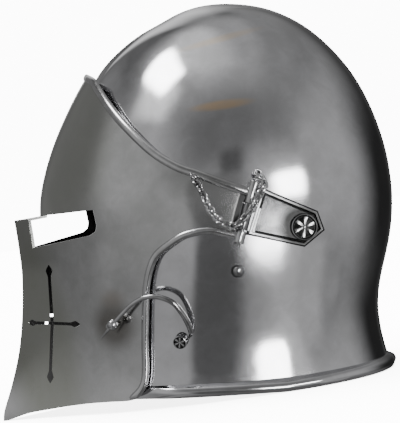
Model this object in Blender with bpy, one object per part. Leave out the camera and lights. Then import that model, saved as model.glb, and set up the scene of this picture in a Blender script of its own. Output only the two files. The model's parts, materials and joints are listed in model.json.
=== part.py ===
"""Visored barbuta helmet, built as separate solids. Lengths in mm, scaled to metres at the end.

Axes: the helmet faces -Y, the wearer's left is +X, +Z is up, and it stands on z = 0.
"""
import math
import bmesh
import bpy
from mathutils import Vector

MM = 0.001

# Named sizes
HIGH = 274.2           # floor to the top of the crown
LONG = 301.0           # beak tip to nape
WIDE = 202.4           # bowl at its widest, over its own keel height
SHEET = 1.6            # wall of the bowl and of the visor
KEEL_HIGH = 2.2        # low ridge over the crown and down the back
KEEL_WIDE = 8.0        # half width of that ridge
VISOR_PROUD = 4.8      # visor face to bowl face at the sides
SIDE_LIFT = 0.078      # rise of the rim toward the face, mm per mm
SPLIT = 42.6           # section angle where the beak leaves the cheek line
BEAD = 2.1             # radius of the rolled edge of the visor
BARREL = 3.6           # radius of the hinge barrel
PIN = 1.25             # radius of the hinge pin
HOLE_PLAY = 0.3        # play of every pin or rivet in its hole
SEAT_GAP = 0.3         # gap under every head, ball and plate
SLIDE_GAP = 1.3        # bowl's widest place to the inner face of a pivot plate
PLATE_THICK = 2.2      # pivot plate
PLATE_BEVEL = 1.1      # bevel along its edge
GROOVE_IN = 3.3        # groove to the plate's edge
GROOVE_DEEP = 0.55
SHELF_WALL = 0.6       # height of the step between shelf and brow
RIM_HIGH = 8.6         # rolled rim
RIM_OUT = 5.8
NASAL_HALF = 13.0      # half width of the bar between the sights
CROSS_SLOT = 0.95      # half width of a breath slot
CROSS_LEAF = 2.3       # half width of its leaf-shaped ends
PIVOT_HEAD = 9.3       # radius of the pivot rosette
PIVOT_HIGH = 3.2
PIVOT_SHANK = 3.0
STRAP_HEAD = 3.5       # radius of the strap rivet
STRAP_HIGH = 2.1
STRAP_SHANK = 1.5
HOOK_HEAD = 4.8        # radius of the hook's rosette
HOOK_HEAD_HIGH = 2.0
HOOK_SHANK = 1.7
HOOK_EYE = 4.2         # radius of the eye that turns on the shank
HOOK_EYE_THICK = 1.6
HOOK_EYE_LIFT = 1.0    # under the eye
HOOK_RISE = 9.9        # height of the arm over the plane that it turns in
HOOK_THICK = 2.1       # radius of the arm at its thickest
BALL = 3.9             # radius of the hook's ball
CATCH = 2.4            # radius of the catch under the ball
CATCH_SHANK = 1.3
EYE_OUT = 2.9          # outer radius of the pin's eye
EYE_WIRE = 0.62
EYE_RISE = 4.6
STAPLE_OUT = 3.4       # outer radius of the staple's ring
STAPLE_WIRE = 0.72
STAPLE_RISE = 4.4
STAPLE_SHANK = 0.9
LINK_PITCH = 5.2       # one link of the chain
LINK_WIRE = 0.58
LINK_LONG = 3.58       # half length over all
LINK_HALF_WIDE = 2.2
LIFT_FROM = 45.0       # y where the rim starts to rise toward the face
LIFT_FADE = 40.0       # height over the floor where that rise has faded out
FACE_MIDDLE = 40.0     # y that the walls' normals are turned away from
RIM_START = 50.0       # y behind the face edge where the rim's roll is thin
RIM_RUN = 14.0         # length over which the roll grows to its full width
CREASE_ROOM = 4.0      # half width of the beak's edge that no cut crosses
NOTCH_ROOM = 0.7       # room round the middle knuckle in the visor
BARREL_ROOM = 1.8      # extra room between the bowl and the barrel
TONGUE_START = 1.5     # tongue of a pivot plate, from the hinge axis
TONGUE_END = 9.0
BEAD_IN = 1.5          # rolled edge's line, in from the outline
INNER_HEAD = 1.3       # inner head of a rosette: wider than its shank, and how thick
THROUGH = 9.0          # half length of a tool that makes a rivet hole

def side_view(shares):
    """Points y, z from shares of the length and the height."""
    return [(y * LONG, z * HIGH) for y, z in shares]


# Horizontal sections of the bowl and, where they share it, the visor: z as a share of HIGH,
# bowl_front, plate_front, back and middle of LONG, half_width of WIDE; then point, side
# z, bowl_front, plate_front, back, half_width, middle, point, side
SECTION_SHARES = [
    (0.9964, 0.0797, 0.0664, 0.1661, 0.0667, 0.1196, 2.00, 2.00),
    (0.9869, 0.0432, 0.0266, 0.2110, 0.1210, 0.1229, 2.00, 2.00),
    (0.9701, 0.0050, -0.0133, 0.2575, 0.1754, 0.1262, 2.00, 2.00),
    (0.9464, -0.0498, -0.0731, 0.2990, 0.2243, 0.1296, 2.00, 2.00),
    (0.9136, -0.1013, -0.1429, 0.3405, 0.2678, 0.1329, 2.00, 2.00),
    (0.8716, -0.1495, -0.1794, 0.3787, 0.3147, 0.1362, 1.94, 2.03),
    (0.8206, -0.1877, -0.2169, 0.4146, 0.3666, 0.1395, 1.86, 2.10),
    (0.7622, -0.2276, -0.2532, 0.4458, 0.4111, 0.1429, 1.77, 2.20),
    (0.6966, -0.2658, -0.2890, 0.4698, 0.4476, 0.1462, 1.67, 2.35),
    (0.6273, -0.2973, -0.3189, 0.4870, 0.4753, 0.1495, 1.57, 2.45),
    (0.5543, -0.3206, -0.3412, 0.4977, 0.4931, 0.1495, 1.48, 2.55),
    (0.5142, -0.3306, -0.3468, 0.4997, 0.4980, 0.1495, 1.43, 2.60),
    (0.4741, -0.3372, -0.3488, 0.5000, 0.5000, 0.1495, 1.40, 2.60),
    (0.3939, -0.3439, -0.3555, 0.4917, 0.4980, 0.1495, 1.35, 2.60),
    (0.3209, -0.3522, -0.3638, 0.4744, 0.4852, 0.1495, 1.35, 2.60),
    (0.2553, -0.3605, -0.3721, 0.4512, 0.4684, 0.1462, 1.35, 2.60),
    (0.1969, -0.3671, -0.3787, 0.4332, 0.4506, 0.1429, 1.35, 2.60),
    (0.1459, -0.3738, -0.3854, 0.4252, 0.4377, 0.1395, 1.35, 2.60),
    (0.0948, -0.3821, -0.3937, 0.4259, 0.4293, 0.1362, 1.35, 2.60),
    (0.0547, -0.3904, -0.4020, 0.4299, 0.4259, 0.1329, 1.35, 2.60),
    (0.0346, -0.3953, -0.4070, 0.4332, 0.4269, 0.1329, 1.35, 2.60),
    (-0.0365, -0.4120, -0.4252, 0.4452, 0.4348, 0.1329, 1.35, 2.60),
]
SECTIONS = [(z * HIGH, b * LONG, p * LONG, r * LONG, w * WIDE, m * LONG, point, side)
            for z, b, p, r, w, m, point, side in SECTION_SHARES]
SECTION_NAMES = ("bowl_front", "plate_front", "back", "half_width", "middle", "point", "side")

# Ridge of the visor's lower part: z share, y share, half angle of the beak in degrees
BEAK_SHARES = [
    (-0.0438, -0.5017, 46.0),
    (0.0000, -0.4993, 46.0),
    (0.0135, -0.4997, 46.0),
    (0.0332, -0.4917, 47.0),
    (0.0726, -0.4748, 48.0),
    (0.1120, -0.4601, 49.0),
    (0.1721, -0.4405, 51.0),
    (0.2330, -0.4266, 52.0),
    (0.3151, -0.4136, 53.0),
    (0.3979, -0.4066, 54.0),
    (0.4559, -0.4066, 55.0),
    (0.5120, -0.4080, 55.0),
]
BEAK = [(z * HIGH, y * LONG, angle) for z, y, angle in BEAK_SHARES]
SHELF_TOP = 0.5120 * HIGH
BROW_FOOT = SHELF_TOP + SHELF_WALL

# Levels of the bowl's rings as shares of HIGH: z, whether the inner face has a ring there too
BOWL_LEVEL_SHARES = [
    (0.9964, True), (0.9847, False), (0.9646, True), (0.9336, False), (0.8935, True),
    (0.8406, False), (0.7750, True), (0.6966, False), (0.6054, True), (0.5106, False),
    (0.4158, True), (0.3319, True), (0.2553, True), (0.1860, False), (0.1204, True),
    (0.0656, False), (0.0346, True),
]
BOWL_LEVELS = [share * HIGH for share, _ in BOWL_LEVEL_SHARES]
BOWL_TURNS = [0.0, 5.0, 16.0, 29.0, 43.0, 58.0, 74.0, 90.0]
CROWN = (0.1196 * LONG, HIGH)

# Rolled rim, outward from the wall as shares of RIM_OUT and up as shares of RIM_HIGH: out, z
RIM_ROLL = [(out * RIM_OUT, z * RIM_HIGH) for out, z in (
    (0.31, 1.0), (0.78, 0.81), (1.0, 0.465), (0.86, 0.163), (0.55, 0.0))]
RIM_ROLL += [(-0.56 * SHEET, 0.0), (-SHEET, SHEET)]

# Edge of the face opening in the bowl, side view: y, z
FACE_EDGE = side_view([
    (-0.7309, -0.1094), (-0.2027, -0.1094), (-0.2027, 0.2188), (-0.1894, 0.3355),
    (-0.1927, 0.4230), (-0.2093, 0.5033), (-0.2392, 0.5470), (-0.2857, 0.5653),
    (-0.3654, 0.5726), (-0.7309, 0.5726)
])

VISOR_LOW = [share * HIGH for share in (-0.0292, 0.0036, 0.0328, 0.0729, 0.1240, 0.1896, 0.2699, 0.3501, 0.4303)]
VISOR_HIGH = [share * HIGH for share in (0.5689, 0.6309, 0.6929, 0.7549, 0.8169, 0.8972)]
VISOR_LEVELS = VISOR_LOW + [SHELF_TOP, BROW_FOOT] + VISOR_HIGH
VISOR_TURNS = [52.0, 63.0, 76.0, 90.0]
BEAK_STEPS = [0.0, 0.3, 0.65, 1.0]

# Hinge axis at the wearer's left, upper and lower end in y, z; knuckle joints as shares of it
(HINGE_TOP, HINGE_FOOT) = side_view([(0.1326, 0.5310), (0.0761, 0.3873)])
KNUCKLES = (0.366, 0.794)

# Outline of the visor in side view: y, z
UPPER_EDGE = side_view([
    (-0.1894, 0.8607), (-0.1777, 0.8384), (-0.1678, 0.8063), (-0.1555, 0.7724),
    (-0.1389, 0.7356), (-0.1216, 0.7046), (-0.0944, 0.6619), (-0.0661, 0.6273),
    (-0.0266, 0.5937), (0.0043, 0.5766), (0.0561, 0.5460), (0.0977, 0.5222),
    (0.1216, 0.5080)
])
LOWER_EDGE = side_view([
    (0.0807, 0.3975), (0.0389, 0.4147), (0.0063, 0.4223), (-0.0276, 0.4201),
    (-0.0505, 0.4136), (-0.0860, 0.3939), (-0.1060, 0.3767), (-0.1203, 0.3490),
    (-0.1312, 0.3129), (-0.1375, 0.2757), (-0.1505, 0.1765), (-0.1585, 0.1018),
    (-0.1674, 0.0653), (-0.1841, 0.0423), (-0.2037, 0.0299)
])
FOOT_EDGE = side_view([
    (-0.2528, 0.0306), (-0.2977, 0.0303), (-0.3432, 0.0270), (-0.3894, 0.0219),
    (-0.4355, 0.0160), (-0.4661, 0.0073), (-0.4884, 0.0007), (-0.5017, 0.0000)
])

# Corners well outside the visor that close its outline: y, z
VISOR_OUTSIDE = side_view([(-0.2076, 0.9008), (-0.6312, 0.9008), (-0.6312, 0.0)])
SIDE_REACH = 0.7 * WIDE           # past both sides, for cuts along x

# Sight opening and cross-shaped breath in side view: y, z
SIGHT = side_view([
    (-0.4153, 0.4325), (-0.3678, 0.4365), (-0.2449, 0.4515), (-0.2306, 0.4599),
    (-0.2266, 0.4741), (-0.2292, 0.5150), (-0.4153, 0.5150)
])
CROSS_MIDDLE = side_view([(-0.3548, 0.2396)])[0]
# end_y, end_z as shares of LONG and HIGH, leaf's length as a share of its half width
CROSS_ARMS = [
    (-0.3439, 0.3899, 2.0),
    (-0.2920, 0.2312, 1.5),
    (-0.3794, 0.0872, 2.0),
    (-0.4100, 0.2454, 1.3),
]

# Pivot plate at the wearer's left, side view: y, z
PLATE_CORNERS = side_view([
    (0.1458, 0.5146), (0.2645, 0.4369), (0.2741, 0.3880), (0.2239, 0.3538),
    (0.0980, 0.4034)
])
PIVOT = side_view([(0.2279, 0.4030)])[0]

STRAP_RIVET = side_view([(0.0694, 0.3173)])[0]
HOOK_PIVOT = side_view([(-0.0751, 0.1637)])[0]
HOOK_LEAN = (0.40, 0.25)          # slope of the hook's plane along y and z
STAPLE = side_view([(-0.0020, 0.5602)])[0]

# Hook arm: y, z as shares of LONG and HIGH, height as a share of HOOK_RISE, radius of HOOK_THICK
HOOK_ARM = [
    (-0.0671, 0.1630, 0.182, 0.36),
    (-0.0575, 0.1699, 0.192, 0.38),
    (-0.0528, 0.1831, 0.333, 0.81),
    (-0.0581, 0.2079, 0.586, 1.00),
    (-0.0694, 0.2360, 0.808, 0.95),
    (-0.0857, 0.2629, 0.919, 0.90),
    (-0.1106, 0.2797, 0.980, 0.86),
    (-0.1326, 0.2852, 1.000, 0.81),
    (-0.1542, 0.2830, 1.000, 0.76),
    (-0.1771, 0.2710, 1.000, 0.71),
    (-0.1967, 0.2538, 1.000, 0.67),
    (-0.2136, 0.2371, 0.990, 0.67),
    (-0.2339, 0.2159, 0.970, 0.67),
    (-0.2532, 0.1947, 0.929, 0.33),
]
HOOK_BALL = (-0.2236, 0.2268, 0.980)

# Chain from the staple to the eye of the pin: y, z as shares of LONG and HIGH, then the height
# over the visor face
CHAIN_LINE = [
    (0.00864, 0.53027, 3.6),
    (0.01860, 0.49088, 3.0),
    (0.02857, 0.46426, 3.0),
    (0.04385, 0.44383, 3.0),
    (0.06246, 0.43144, 3.6),
    (0.07940, 0.43399, 6.6),
    (0.09502, 0.44785, 8.1),
    (0.11262, 0.46389, 7.9),
    (0.13256, 0.49271, 7.2),
    (0.15150, 0.51860, 4.6),
    (0.14917, 0.53392, 2.7),
]
CHAIN_BACK = 0.146 * LONG         # the visor's face is read no further back than this


def interpolate(rows, column, z):
    """Monotone cubic reading of one column of a table whose first column is z."""
    rows = sorted(rows)
    last = len(rows) - 1
    if z <= rows[0][0]:
        return rows[0][column]
    if z >= rows[last][0]:
        return rows[last][column]
    i = 0
    while rows[i + 1][0] < z:
        i += 1

    def slope(j):
        return (rows[j + 1][column] - rows[j][column]) / (rows[j + 1][0] - rows[j][0])

    def tangent(j):
        if j == 0:
            return slope(0)
        if j == last:
            return slope(last - 1)
        before, after = slope(j - 1), slope(j)
        if before * after <= 0.0:
            return 0.0
        return 2.0 * before * after / (before + after)

    span = rows[i + 1][0] - rows[i][0]
    t = (z - rows[i][0]) / span
    low, high = rows[i][column], rows[i + 1][column]
    return ((2 * t ** 3 - 3 * t * t + 1) * low + (t ** 3 - 2 * t * t + t) * span * tangent(i)
            + (3 * t * t - 2 * t ** 3) * high + (t ** 3 - t * t) * span * tangent(i + 1))


def section(z):
    return {name: interpolate(SECTIONS, k + 1, z) for k, name in enumerate(SECTION_NAMES)}


def bowl_half(y, z):
    """Half width of the bowl's outer face at one place in the side view."""
    s = section(z)
    wide = s["half_width"] - KEEL_HIGH
    if y <= s["middle"]:
        d = (s["middle"] - y) / (s["middle"] - s["bowl_front"])
        return wide * max(0.0, 1.0 - d ** s["side"]) ** (1.0 / s["point"])
    d = (y - s["middle"]) / (s["back"] - s["middle"])
    return wide * max(0.0, 1.0 - d ** 2.15) ** 0.5


def cheek_point(s, turn):
    """One point of the plate's section, turn 0 at the front and 90 at the side."""
    wide = s["half_width"] - KEEL_HIGH + VISOR_PROUD
    angle = math.radians(turn)
    x = wide * math.sin(angle) ** (2.0 / s["point"])
    d = max(0.0, math.cos(angle)) ** (2.0 / s["side"])
    return x, s["middle"] - (s["middle"] - s["plate_front"]) * d


def beak_curve(z):
    """Ridge point, control point and cheek point of the lower visor's beak."""
    s = section(z)
    qx, qy = cheek_point(s, SPLIT)
    nx, ny = cheek_point(s, SPLIT + 1.0)
    lean = (nx - qx) / (ny - qy)
    ridge = interpolate(BEAK, 1, z)
    steep = math.tan(math.radians(interpolate(BEAK, 2, z)))
    run = (steep * (qy - ridge) - qx) / (steep - lean)
    run = min(max(run, 8.0), 0.75 * (qy - ridge))
    return (0.0, ridge), (qx - lean * run, qy - run), (qx, qy)


def visor_point(z, step):
    """Outer face of the visor; step is a beak share up to 1, else a turn in degrees."""
    s = section(z)
    if step > 1.0:
        return cheek_point(s, step)
    if z >= BROW_FOOT:
        return cheek_point(s, SPLIT * step)
    a, b, c = beak_curve(z)
    k = 1.0 - step
    x = k * k * a[0] + 2 * k * step * b[0] + step * step * c[0]
    y = k * k * a[1] + 2 * k * step * b[1] + step * step * c[1]
    return x, y


def visor_half(y, z):
    """Half width of the visor's outer face at one place in the side view."""
    steps = [0.02 * k for k in range(51)] + [SPLIT + 1.0 + k for k in range(47)] + [90.0]
    before = visor_point(z, 0.0)
    if y <= before[1]:
        return 0.0
    for step in steps[1:]:
        x, py = visor_point(z, step)
        if py >= y:
            t = (y - before[1]) / max(py - before[1], 1e-9)
            return before[0] + t * (x - before[0])
        before = (x, py)
    return before[0]


def hinge_x():
    """Hinge axis off the middle plane, so that the barrels clear the bowl."""
    return bowl_widest() + SEAT_GAP + BARREL_ROOM + BARREL


def plate_inner():
    return bowl_widest() + SLIDE_GAP


def plate_outer():
    return plate_inner() + PLATE_THICK


def bowl_widest():
    return max(row[4] for row in SECTIONS) - KEEL_HIGH


def face_normal(half, y, z):
    """Outward normal of a side face at the wearer's left."""
    dy = (half(y + 1.0, z) - half(y - 1.0, z)) / 2.0
    dz = (half(y, z + 1.0) - half(y, z - 1.0)) / 2.0
    return Vector((1.0, -dy, -dz)).normalized()


def colour(obj, rgb, metallic, roughness):
    material = bpy.data.materials.new(obj.name + "_material")
    material.use_nodes = True
    shader = material.node_tree.nodes["Principled BSDF"]
    shader.inputs["Base Color"].default_value = (rgb[0], rgb[1], rgb[2], 1.0)
    shader.inputs["Metallic"].default_value = metallic
    shader.inputs["Roughness"].default_value = roughness
    obj.data.materials.append(material)


def steel(obj, shade=0.62, roughness=0.22):
    colour(obj, (shade, shade, shade * 1.01), 1.0, roughness)
    return obj


def new_object(name, verts, faces, collection=None):
    """Mesh object from mm lengths, faces turned outward."""
    mesh = bpy.data.meshes.new(name)
    mesh.from_pydata([(v[0] * MM, v[1] * MM, v[2] * MM) for v in verts], [], faces)
    work = bmesh.new()
    work.from_mesh(mesh)
    bmesh.ops.remove_doubles(work, verts=work.verts, dist=1e-7)
    bmesh.ops.recalc_face_normals(work, faces=work.faces)
    work.to_mesh(mesh)
    work.free()
    obj = bpy.data.objects.new(name, mesh)
    (collection or bpy.context.scene.collection).objects.link(obj)
    return obj


def cutter(name, verts, faces):
    obj = new_object(name, verts, faces, CUTTERS)
    obj.hide_render = True
    obj.display_type = "WIRE"
    return obj


def boolean(obj, operation, other):
    step = obj.modifiers.new(other.name, "BOOLEAN")
    step.operation = operation
    step.solver = "EXACT"
    step.object = other
    return obj


def join(*parts):
    """Vertices and faces of several closed pieces as one list."""
    verts, faces = [], []
    for v, f in parts:
        start = len(verts)
        verts += v
        faces += [[k + start for k in face] for face in f]
    return verts, faces


def mirrored(part):
    verts, faces = part
    return [(-v[0], v[1], v[2]) for v in verts], [list(reversed(f)) for f in faces]


def prism(outline, x0, x1):
    """Closed prism along x over an outline given as y, z."""
    n = len(outline)
    verts = [(x0, y, z) for y, z in outline] + [(x1, y, z) for y, z in outline]
    faces = [list(range(n))[::-1], list(range(n, 2 * n))]
    for k in range(n):
        j = (k + 1) % n
        faces.append([k, j, j + n, k + n])
    return verts, faces


def across(direction):
    """Two unit vectors square to a direction."""
    d = Vector(direction).normalized()
    up = Vector((0.0, 0.0, 1.0)) if abs(d.z) < 0.8 else Vector((0.0, 1.0, 0.0))
    u = d.cross(up).normalized()
    return u, d.cross(u).normalized()


def tube(points, radii, sides):
    """Closed round bar along a line of points, frames carried along it."""
    pts = [Vector(p) for p in points]
    n = len(pts)
    heads = []
    for k in range(n):
        a = pts[max(k - 1, 0)]
        b = pts[min(k + 1, n - 1)]
        heads.append((b - a).normalized())
    u, _ = across(heads[0])
    verts, faces = [], []
    for k in range(n):
        u = (u - heads[k] * u.dot(heads[k])).normalized()
        v = heads[k].cross(u)
        r = radii[k] if isinstance(radii, (list, tuple)) else radii
        for j in range(sides):
            t = 2.0 * math.pi * j / sides
            verts.append(tuple(pts[k] + u * (r * math.cos(t)) + v * (r * math.sin(t))))
    for k in range(n - 1):
        for j in range(sides):
            i = (j + 1) % sides
            faces.append([k * sides + j, k * sides + i, (k + 1) * sides + i, (k + 1) * sides + j])
    faces.append(list(range(sides))[::-1])
    faces.append([(n - 1) * sides + j for j in range(sides)])
    return verts, faces


def lathe(profile, sides, origin, axis, bump=None):
    """Turned piece: profile is radius, height along the axis, from tip to tip."""
    u, v = across(axis)
    d = Vector(axis).normalized()
    o = Vector(origin)
    verts, faces, rings = [], [], []
    for k, (r, h) in enumerate(profile):
        if r <= 1e-6:
            rings.append([len(verts)])
            verts.append(tuple(o + d * h))
            continue
        ring = []
        for j in range(sides):
            t = 2.0 * math.pi * j / sides
            high = h + (bump(k, j) if bump else 0.0)
            ring.append(len(verts))
            verts.append(tuple(o + d * high + u * (r * math.cos(t)) + v * (r * math.sin(t))))
        rings.append(ring)
    for a, b in zip(rings[:-1], rings[1:]):
        for j in range(sides):
            i = (j + 1) % sides
            if len(a) == 1:
                faces.append([a[0], b[i], b[j]])
            elif len(b) == 1:
                faces.append([a[j], a[i], b[0]])
            else:
                faces.append([a[j], a[i], b[i], b[j]])
    return verts, faces


def ring_link(centre, along, wide, half, wire, rounds, sides):
    """One closed wire link, long along one direction and wide along another."""
    c = Vector(centre)
    a = Vector(along).normalized()
    w = (Vector(wide) - a * Vector(wide).dot(a)).normalized()
    n = a.cross(w)
    radius = half[1] - wire
    straight = half[0] - wire - radius
    path, outs = [], []
    turns = rounds // 2
    for k in range(turns):
        t = -math.pi / 2 + math.pi * k / (turns - 1)
        path.append(c + a * (straight + radius * math.cos(t)) + w * (radius * math.sin(t)))
        outs.append(a * math.cos(t) + w * math.sin(t))
    for k in range(turns):
        t = math.pi / 2 + math.pi * k / (turns - 1)
        path.append(c + a * (-straight + radius * math.cos(t)) + w * (radius * math.sin(t)))
        outs.append(a * math.cos(t) + w * math.sin(t))
    verts, faces = [], []
    count = len(path)
    for p, o in zip(path, outs):
        for j in range(sides):
            t = 2.0 * math.pi * j / sides
            verts.append(tuple(p + o * (wire * math.cos(t)) + n * (wire * math.sin(t))))
    for k in range(count):
        m = (k + 1) % count
        for j in range(sides):
            i = (j + 1) % sides
            faces.append([k * sides + j, k * sides + i, m * sides + i, m * sides + j])
    return verts, faces


def lift(y, z):
    """Rise of the rim toward the face, fading out up the wall."""
    return max(0.0, LIFT_FROM - y) * SIDE_LIFT * max(0.0, 1.0 - max(z, 0.0) / LIFT_FADE)


def bowl_ring(z):
    """One closed ring of the bowl's ridge surface, front to back down the left, then the right."""
    s = section(z)
    left = []
    for turn in BOWL_TURNS:
        t = math.radians(turn)
        x = s["half_width"] * math.sin(t) ** (2.0 / s["point"])
        d = max(0.0, math.cos(t)) ** (2.0 / s["side"])
        left.append((x, s["middle"] - (s["middle"] - s["bowl_front"]) * d))
    for turn in reversed(BOWL_TURNS[:-1]):
        t = math.radians(turn)
        x = s["half_width"] * math.sin(t)
        d = max(0.0, math.cos(t)) ** (2.0 / 2.15)
        left.append((x, s["middle"] + (s["back"] - s["middle"]) * d))
    right = [(-x, y) for x, y in reversed(left[1:-1])]
    return [Vector((x, y, z + lift(y, z))) for x, y in left + right]


def bowl_rings():
    rings = [bowl_ring(z) for z in BOWL_LEVELS]
    count = len(rings[0])
    crown = Vector((0.0, CROWN[0], CROWN[1]))
    normals = []
    for i, ring in enumerate(rings):
        row = []
        for j in range(count):
            up = rings[i - 1][j] if i else crown
            down = rings[i + 1][j] if i + 1 < len(rings) else ring[j] * 2 - rings[i - 1][j]
            along = ring[(j + 1) % count] - ring[(j - 1) % count]
            n = along.cross(up - down)
            n.normalize()
            out = Vector((ring[j].x, ring[j].y - FACE_MIDDLE, 60.0 if i < 5 else 0.0))
            row.append(n if n.dot(out) > 0 else -n)
        normals.append(row)
    outer, inner = [], []
    for ring, row in zip(rings, normals):
        face, back = [], []
        for p, n in zip(ring, row):
            tent = max(0.0, 1.0 - abs(p.x) / KEEL_WIDE) ** 1.5
            face.append(p - n * (KEEL_HIGH * (1.0 - tent)))
            back.append(p - n * (KEEL_HIGH + SHEET))
        outer.append(face)
        inner.append(back)
    rim = []
    for out, z in RIM_ROLL:
        row = []
        for p, n in zip(outer[-1], normals[-1]):
            flat = Vector((n.x, n.y, 0.0)).normalized()
            grow = min(1.0, max(0.10, (p.y + RIM_START) / RIM_RUN)) if out > 0 else 1.0
            q = p + flat * (out * grow)
            row.append(Vector((q.x, q.y, z + lift(p.y, 0.0))))
        rim.append(row)
    kept = [ring for ring, (_, inside) in zip(inner, BOWL_LEVEL_SHARES) if inside]
    return outer + rim + kept[::-1], crown, crown - Vector((0.0, 0.0, KEEL_HIGH + SHEET))


def make_skull():
    rings, top, under = bowl_rings()
    count = len(rings[0])
    verts = [tuple(top)]
    for ring in rings:
        verts += [tuple(p) for p in ring]
    verts.append(tuple(under))
    faces = []
    for j in range(count):
        i = (j + 1) % count
        faces.append([0, 1 + j, 1 + i])
        for k in range(len(rings) - 1):
            a = 1 + k * count
            b = a + count
            faces.append([a + j, b + j, b + i, a + i])
        a = 1 + (len(rings) - 1) * count
        faces.append([a + j, len(verts) - 1, a + i])
    skull = new_object("skull", verts, faces)
    boolean(skull, "DIFFERENCE", cutter("face_opening", *prism(FACE_EDGE, -SIDE_REACH, SIDE_REACH)))
    holes = []
    for side in (1.0, -1.0):
        spot = Vector((side * bowl_half(*PIVOT), PIVOT[0], PIVOT[1]))
        holes.append(rod_through(spot, (side, 0.0, 0.0), PIVOT_SHANK + HOLE_PLAY, 12))
        n = face_normal(bowl_half, *STRAP_RIVET)
        spot = Vector((side * bowl_half(*STRAP_RIVET), STRAP_RIVET[0], STRAP_RIVET[1]))
        holes.append(rod_through(spot, (side * n.x, n.y, n.z), STRAP_SHANK + HOLE_PLAY, 10))
    holes.append(rod_through(hook_base(), hook_axis(), HOOK_SHANK + HOLE_PLAY, 10))
    boolean(skull, "DIFFERENCE", cutter("skull_holes", *join(*holes)))
    return steel(skull)


def rod_through(spot, axis, radius, sides):
    """Rod that runs clear through a wall at one spot."""
    profile = [(0.0, THROUGH), (radius, THROUGH), (radius, -THROUGH), (0.0, -THROUGH)]
    return lathe(profile, sides, spot, axis)


def visor_sheet():
    """Closed sheet of the visor before it is trimmed to its outline."""
    steps = BEAK_STEPS + VISOR_TURNS
    grid = []
    for z in VISOR_LEVELS:
        left = [visor_point(z, step) for step in steps]
        row = [Vector((x, y, z)) for x, y in reversed(left)]
        row += [Vector((-x, y, z)) for x, y in left[1:]]
        grid.append(row)
    rows, columns = len(grid), len(grid[0])
    normals = []
    for i in range(rows):
        line = []
        for j in range(columns):
            along = grid[i][min(j + 1, columns - 1)] - grid[i][max(j - 1, 0)]
            up = Vector((0.0, 0.0, 0.0))
            if i + 1 < rows:
                up += (grid[i + 1][j] - grid[i][j]).normalized()
            if i:
                up += (grid[i][j] - grid[i - 1][j]).normalized()
            n = along.cross(up).normalized()
            out = Vector((grid[i][j].x, grid[i][j].y - 60.0, 0.0))
            line.append(n if n.dot(out) > 0 else -n)
        normals.append(line)
    verts = [tuple(p) for row in grid for p in row]
    verts += [tuple(p - n * SHEET) for row, line in zip(grid, normals) for p, n in zip(row, line)]
    back = rows * columns
    faces = []
    for i in range(rows - 1):
        for j in range(columns - 1):
            a = i * columns + j
            quad = [a, a + 1, a + columns + 1, a + columns]
            faces.append(quad)
            faces.append([k + back for k in reversed(quad)])
    for j in range(columns - 1):
        for a, b in ((j + 1, j), ((rows - 1) * columns + j, (rows - 1) * columns + j + 1)):
            faces.append([a, b, b + back, a + back])
    for i in range(rows - 1):
        a, b = i * columns, (i + 1) * columns
        faces.append([a, b, b + back, a + back])
        a, b = i * columns + columns - 1, (i + 1) * columns + columns - 1
        faces.append([b, a, a + back, b + back])
    return verts, faces


def hinge_at(share, forward=0.0):
    """Point y, z on the hinge axis, moved toward the face."""
    y = HINGE_TOP[0] + share * (HINGE_FOOT[0] - HINGE_TOP[0])
    z = HINGE_TOP[1] + share * (HINGE_FOOT[1] - HINGE_TOP[1])
    along_y, along_z = HINGE_FOOT[0] - HINGE_TOP[0], HINGE_FOOT[1] - HINGE_TOP[1]
    length = math.hypot(along_y, along_z)
    return y + along_z / length * forward, z - along_y / length * forward


def visor_outline():
    low, high = KNUCKLES
    deep = BARREL + NOTCH_ROOM
    outline = VISOR_OUTSIDE[:1] + UPPER_EDGE
    outline += [hinge_at(low - 0.012), hinge_at(low - 0.012, deep), hinge_at(high + 0.012, deep),
                hinge_at(high + 0.012)]
    outline += LOWER_EDGE + FOOT_EDGE + VISOR_OUTSIDE[:0:-1]
    return outline


def cross_outline():
    my, mz = CROSS_MIDDLE
    heads = []
    for share_y, share_z, share_leaf in CROSS_ARMS:
        ey, ez = share_y * LONG, share_z * HIGH
        reach = math.hypot(ey - my, ez - mz)
        heads.append(((ey - my) / reach, (ez - mz) / reach, reach, share_leaf * CROSS_LEAF))
    outline = []
    slot, leaf = CROSS_SLOT, CROSS_LEAF
    for k, (dy, dz, reach, long) in enumerate(heads):
        sy, sz = -dz, dy
        for run, side in ((reach - long * 1.9, slot), (reach - long, leaf), (reach, 0.0),
                          (reach - long, -leaf), (reach - long * 1.9, -slot)):
            outline.append((my + dy * run + sy * side, mz + dz * run + sz * side))
        ny, nz = heads[(k + 1) % 4][:2]
        outline.append((my + (dy + ny) * slot, mz + (dz + nz) * slot))
    return outline


def edge_bead(edge, inset):
    """Line of a rolled edge on the visor's face, moved in from the outline."""
    line = []
    n = len(edge)
    for k, (y, z) in enumerate(edge):
        ay, az = edge[max(k - 1, 0)]
        by, bz = edge[min(k + 1, n - 1)]
        run = math.hypot(by - ay, bz - az)
        iy, iz = y - (bz - az) / run * inset, z + (by - ay) / run * inset
        line.append((visor_half(iy, iz) + 0.5, iy, iz))
    return line


def barrel(start, end, radius, sides=10):
    """Bar on the left hinge axis between two shares of its length."""
    ends = []
    for share in (start, end):
        y, z = hinge_at(share)
        ends.append((hinge_x(), y, z))
    return tube(ends, radius, sides)


def both(part):
    return join(part, mirrored(part))


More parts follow.
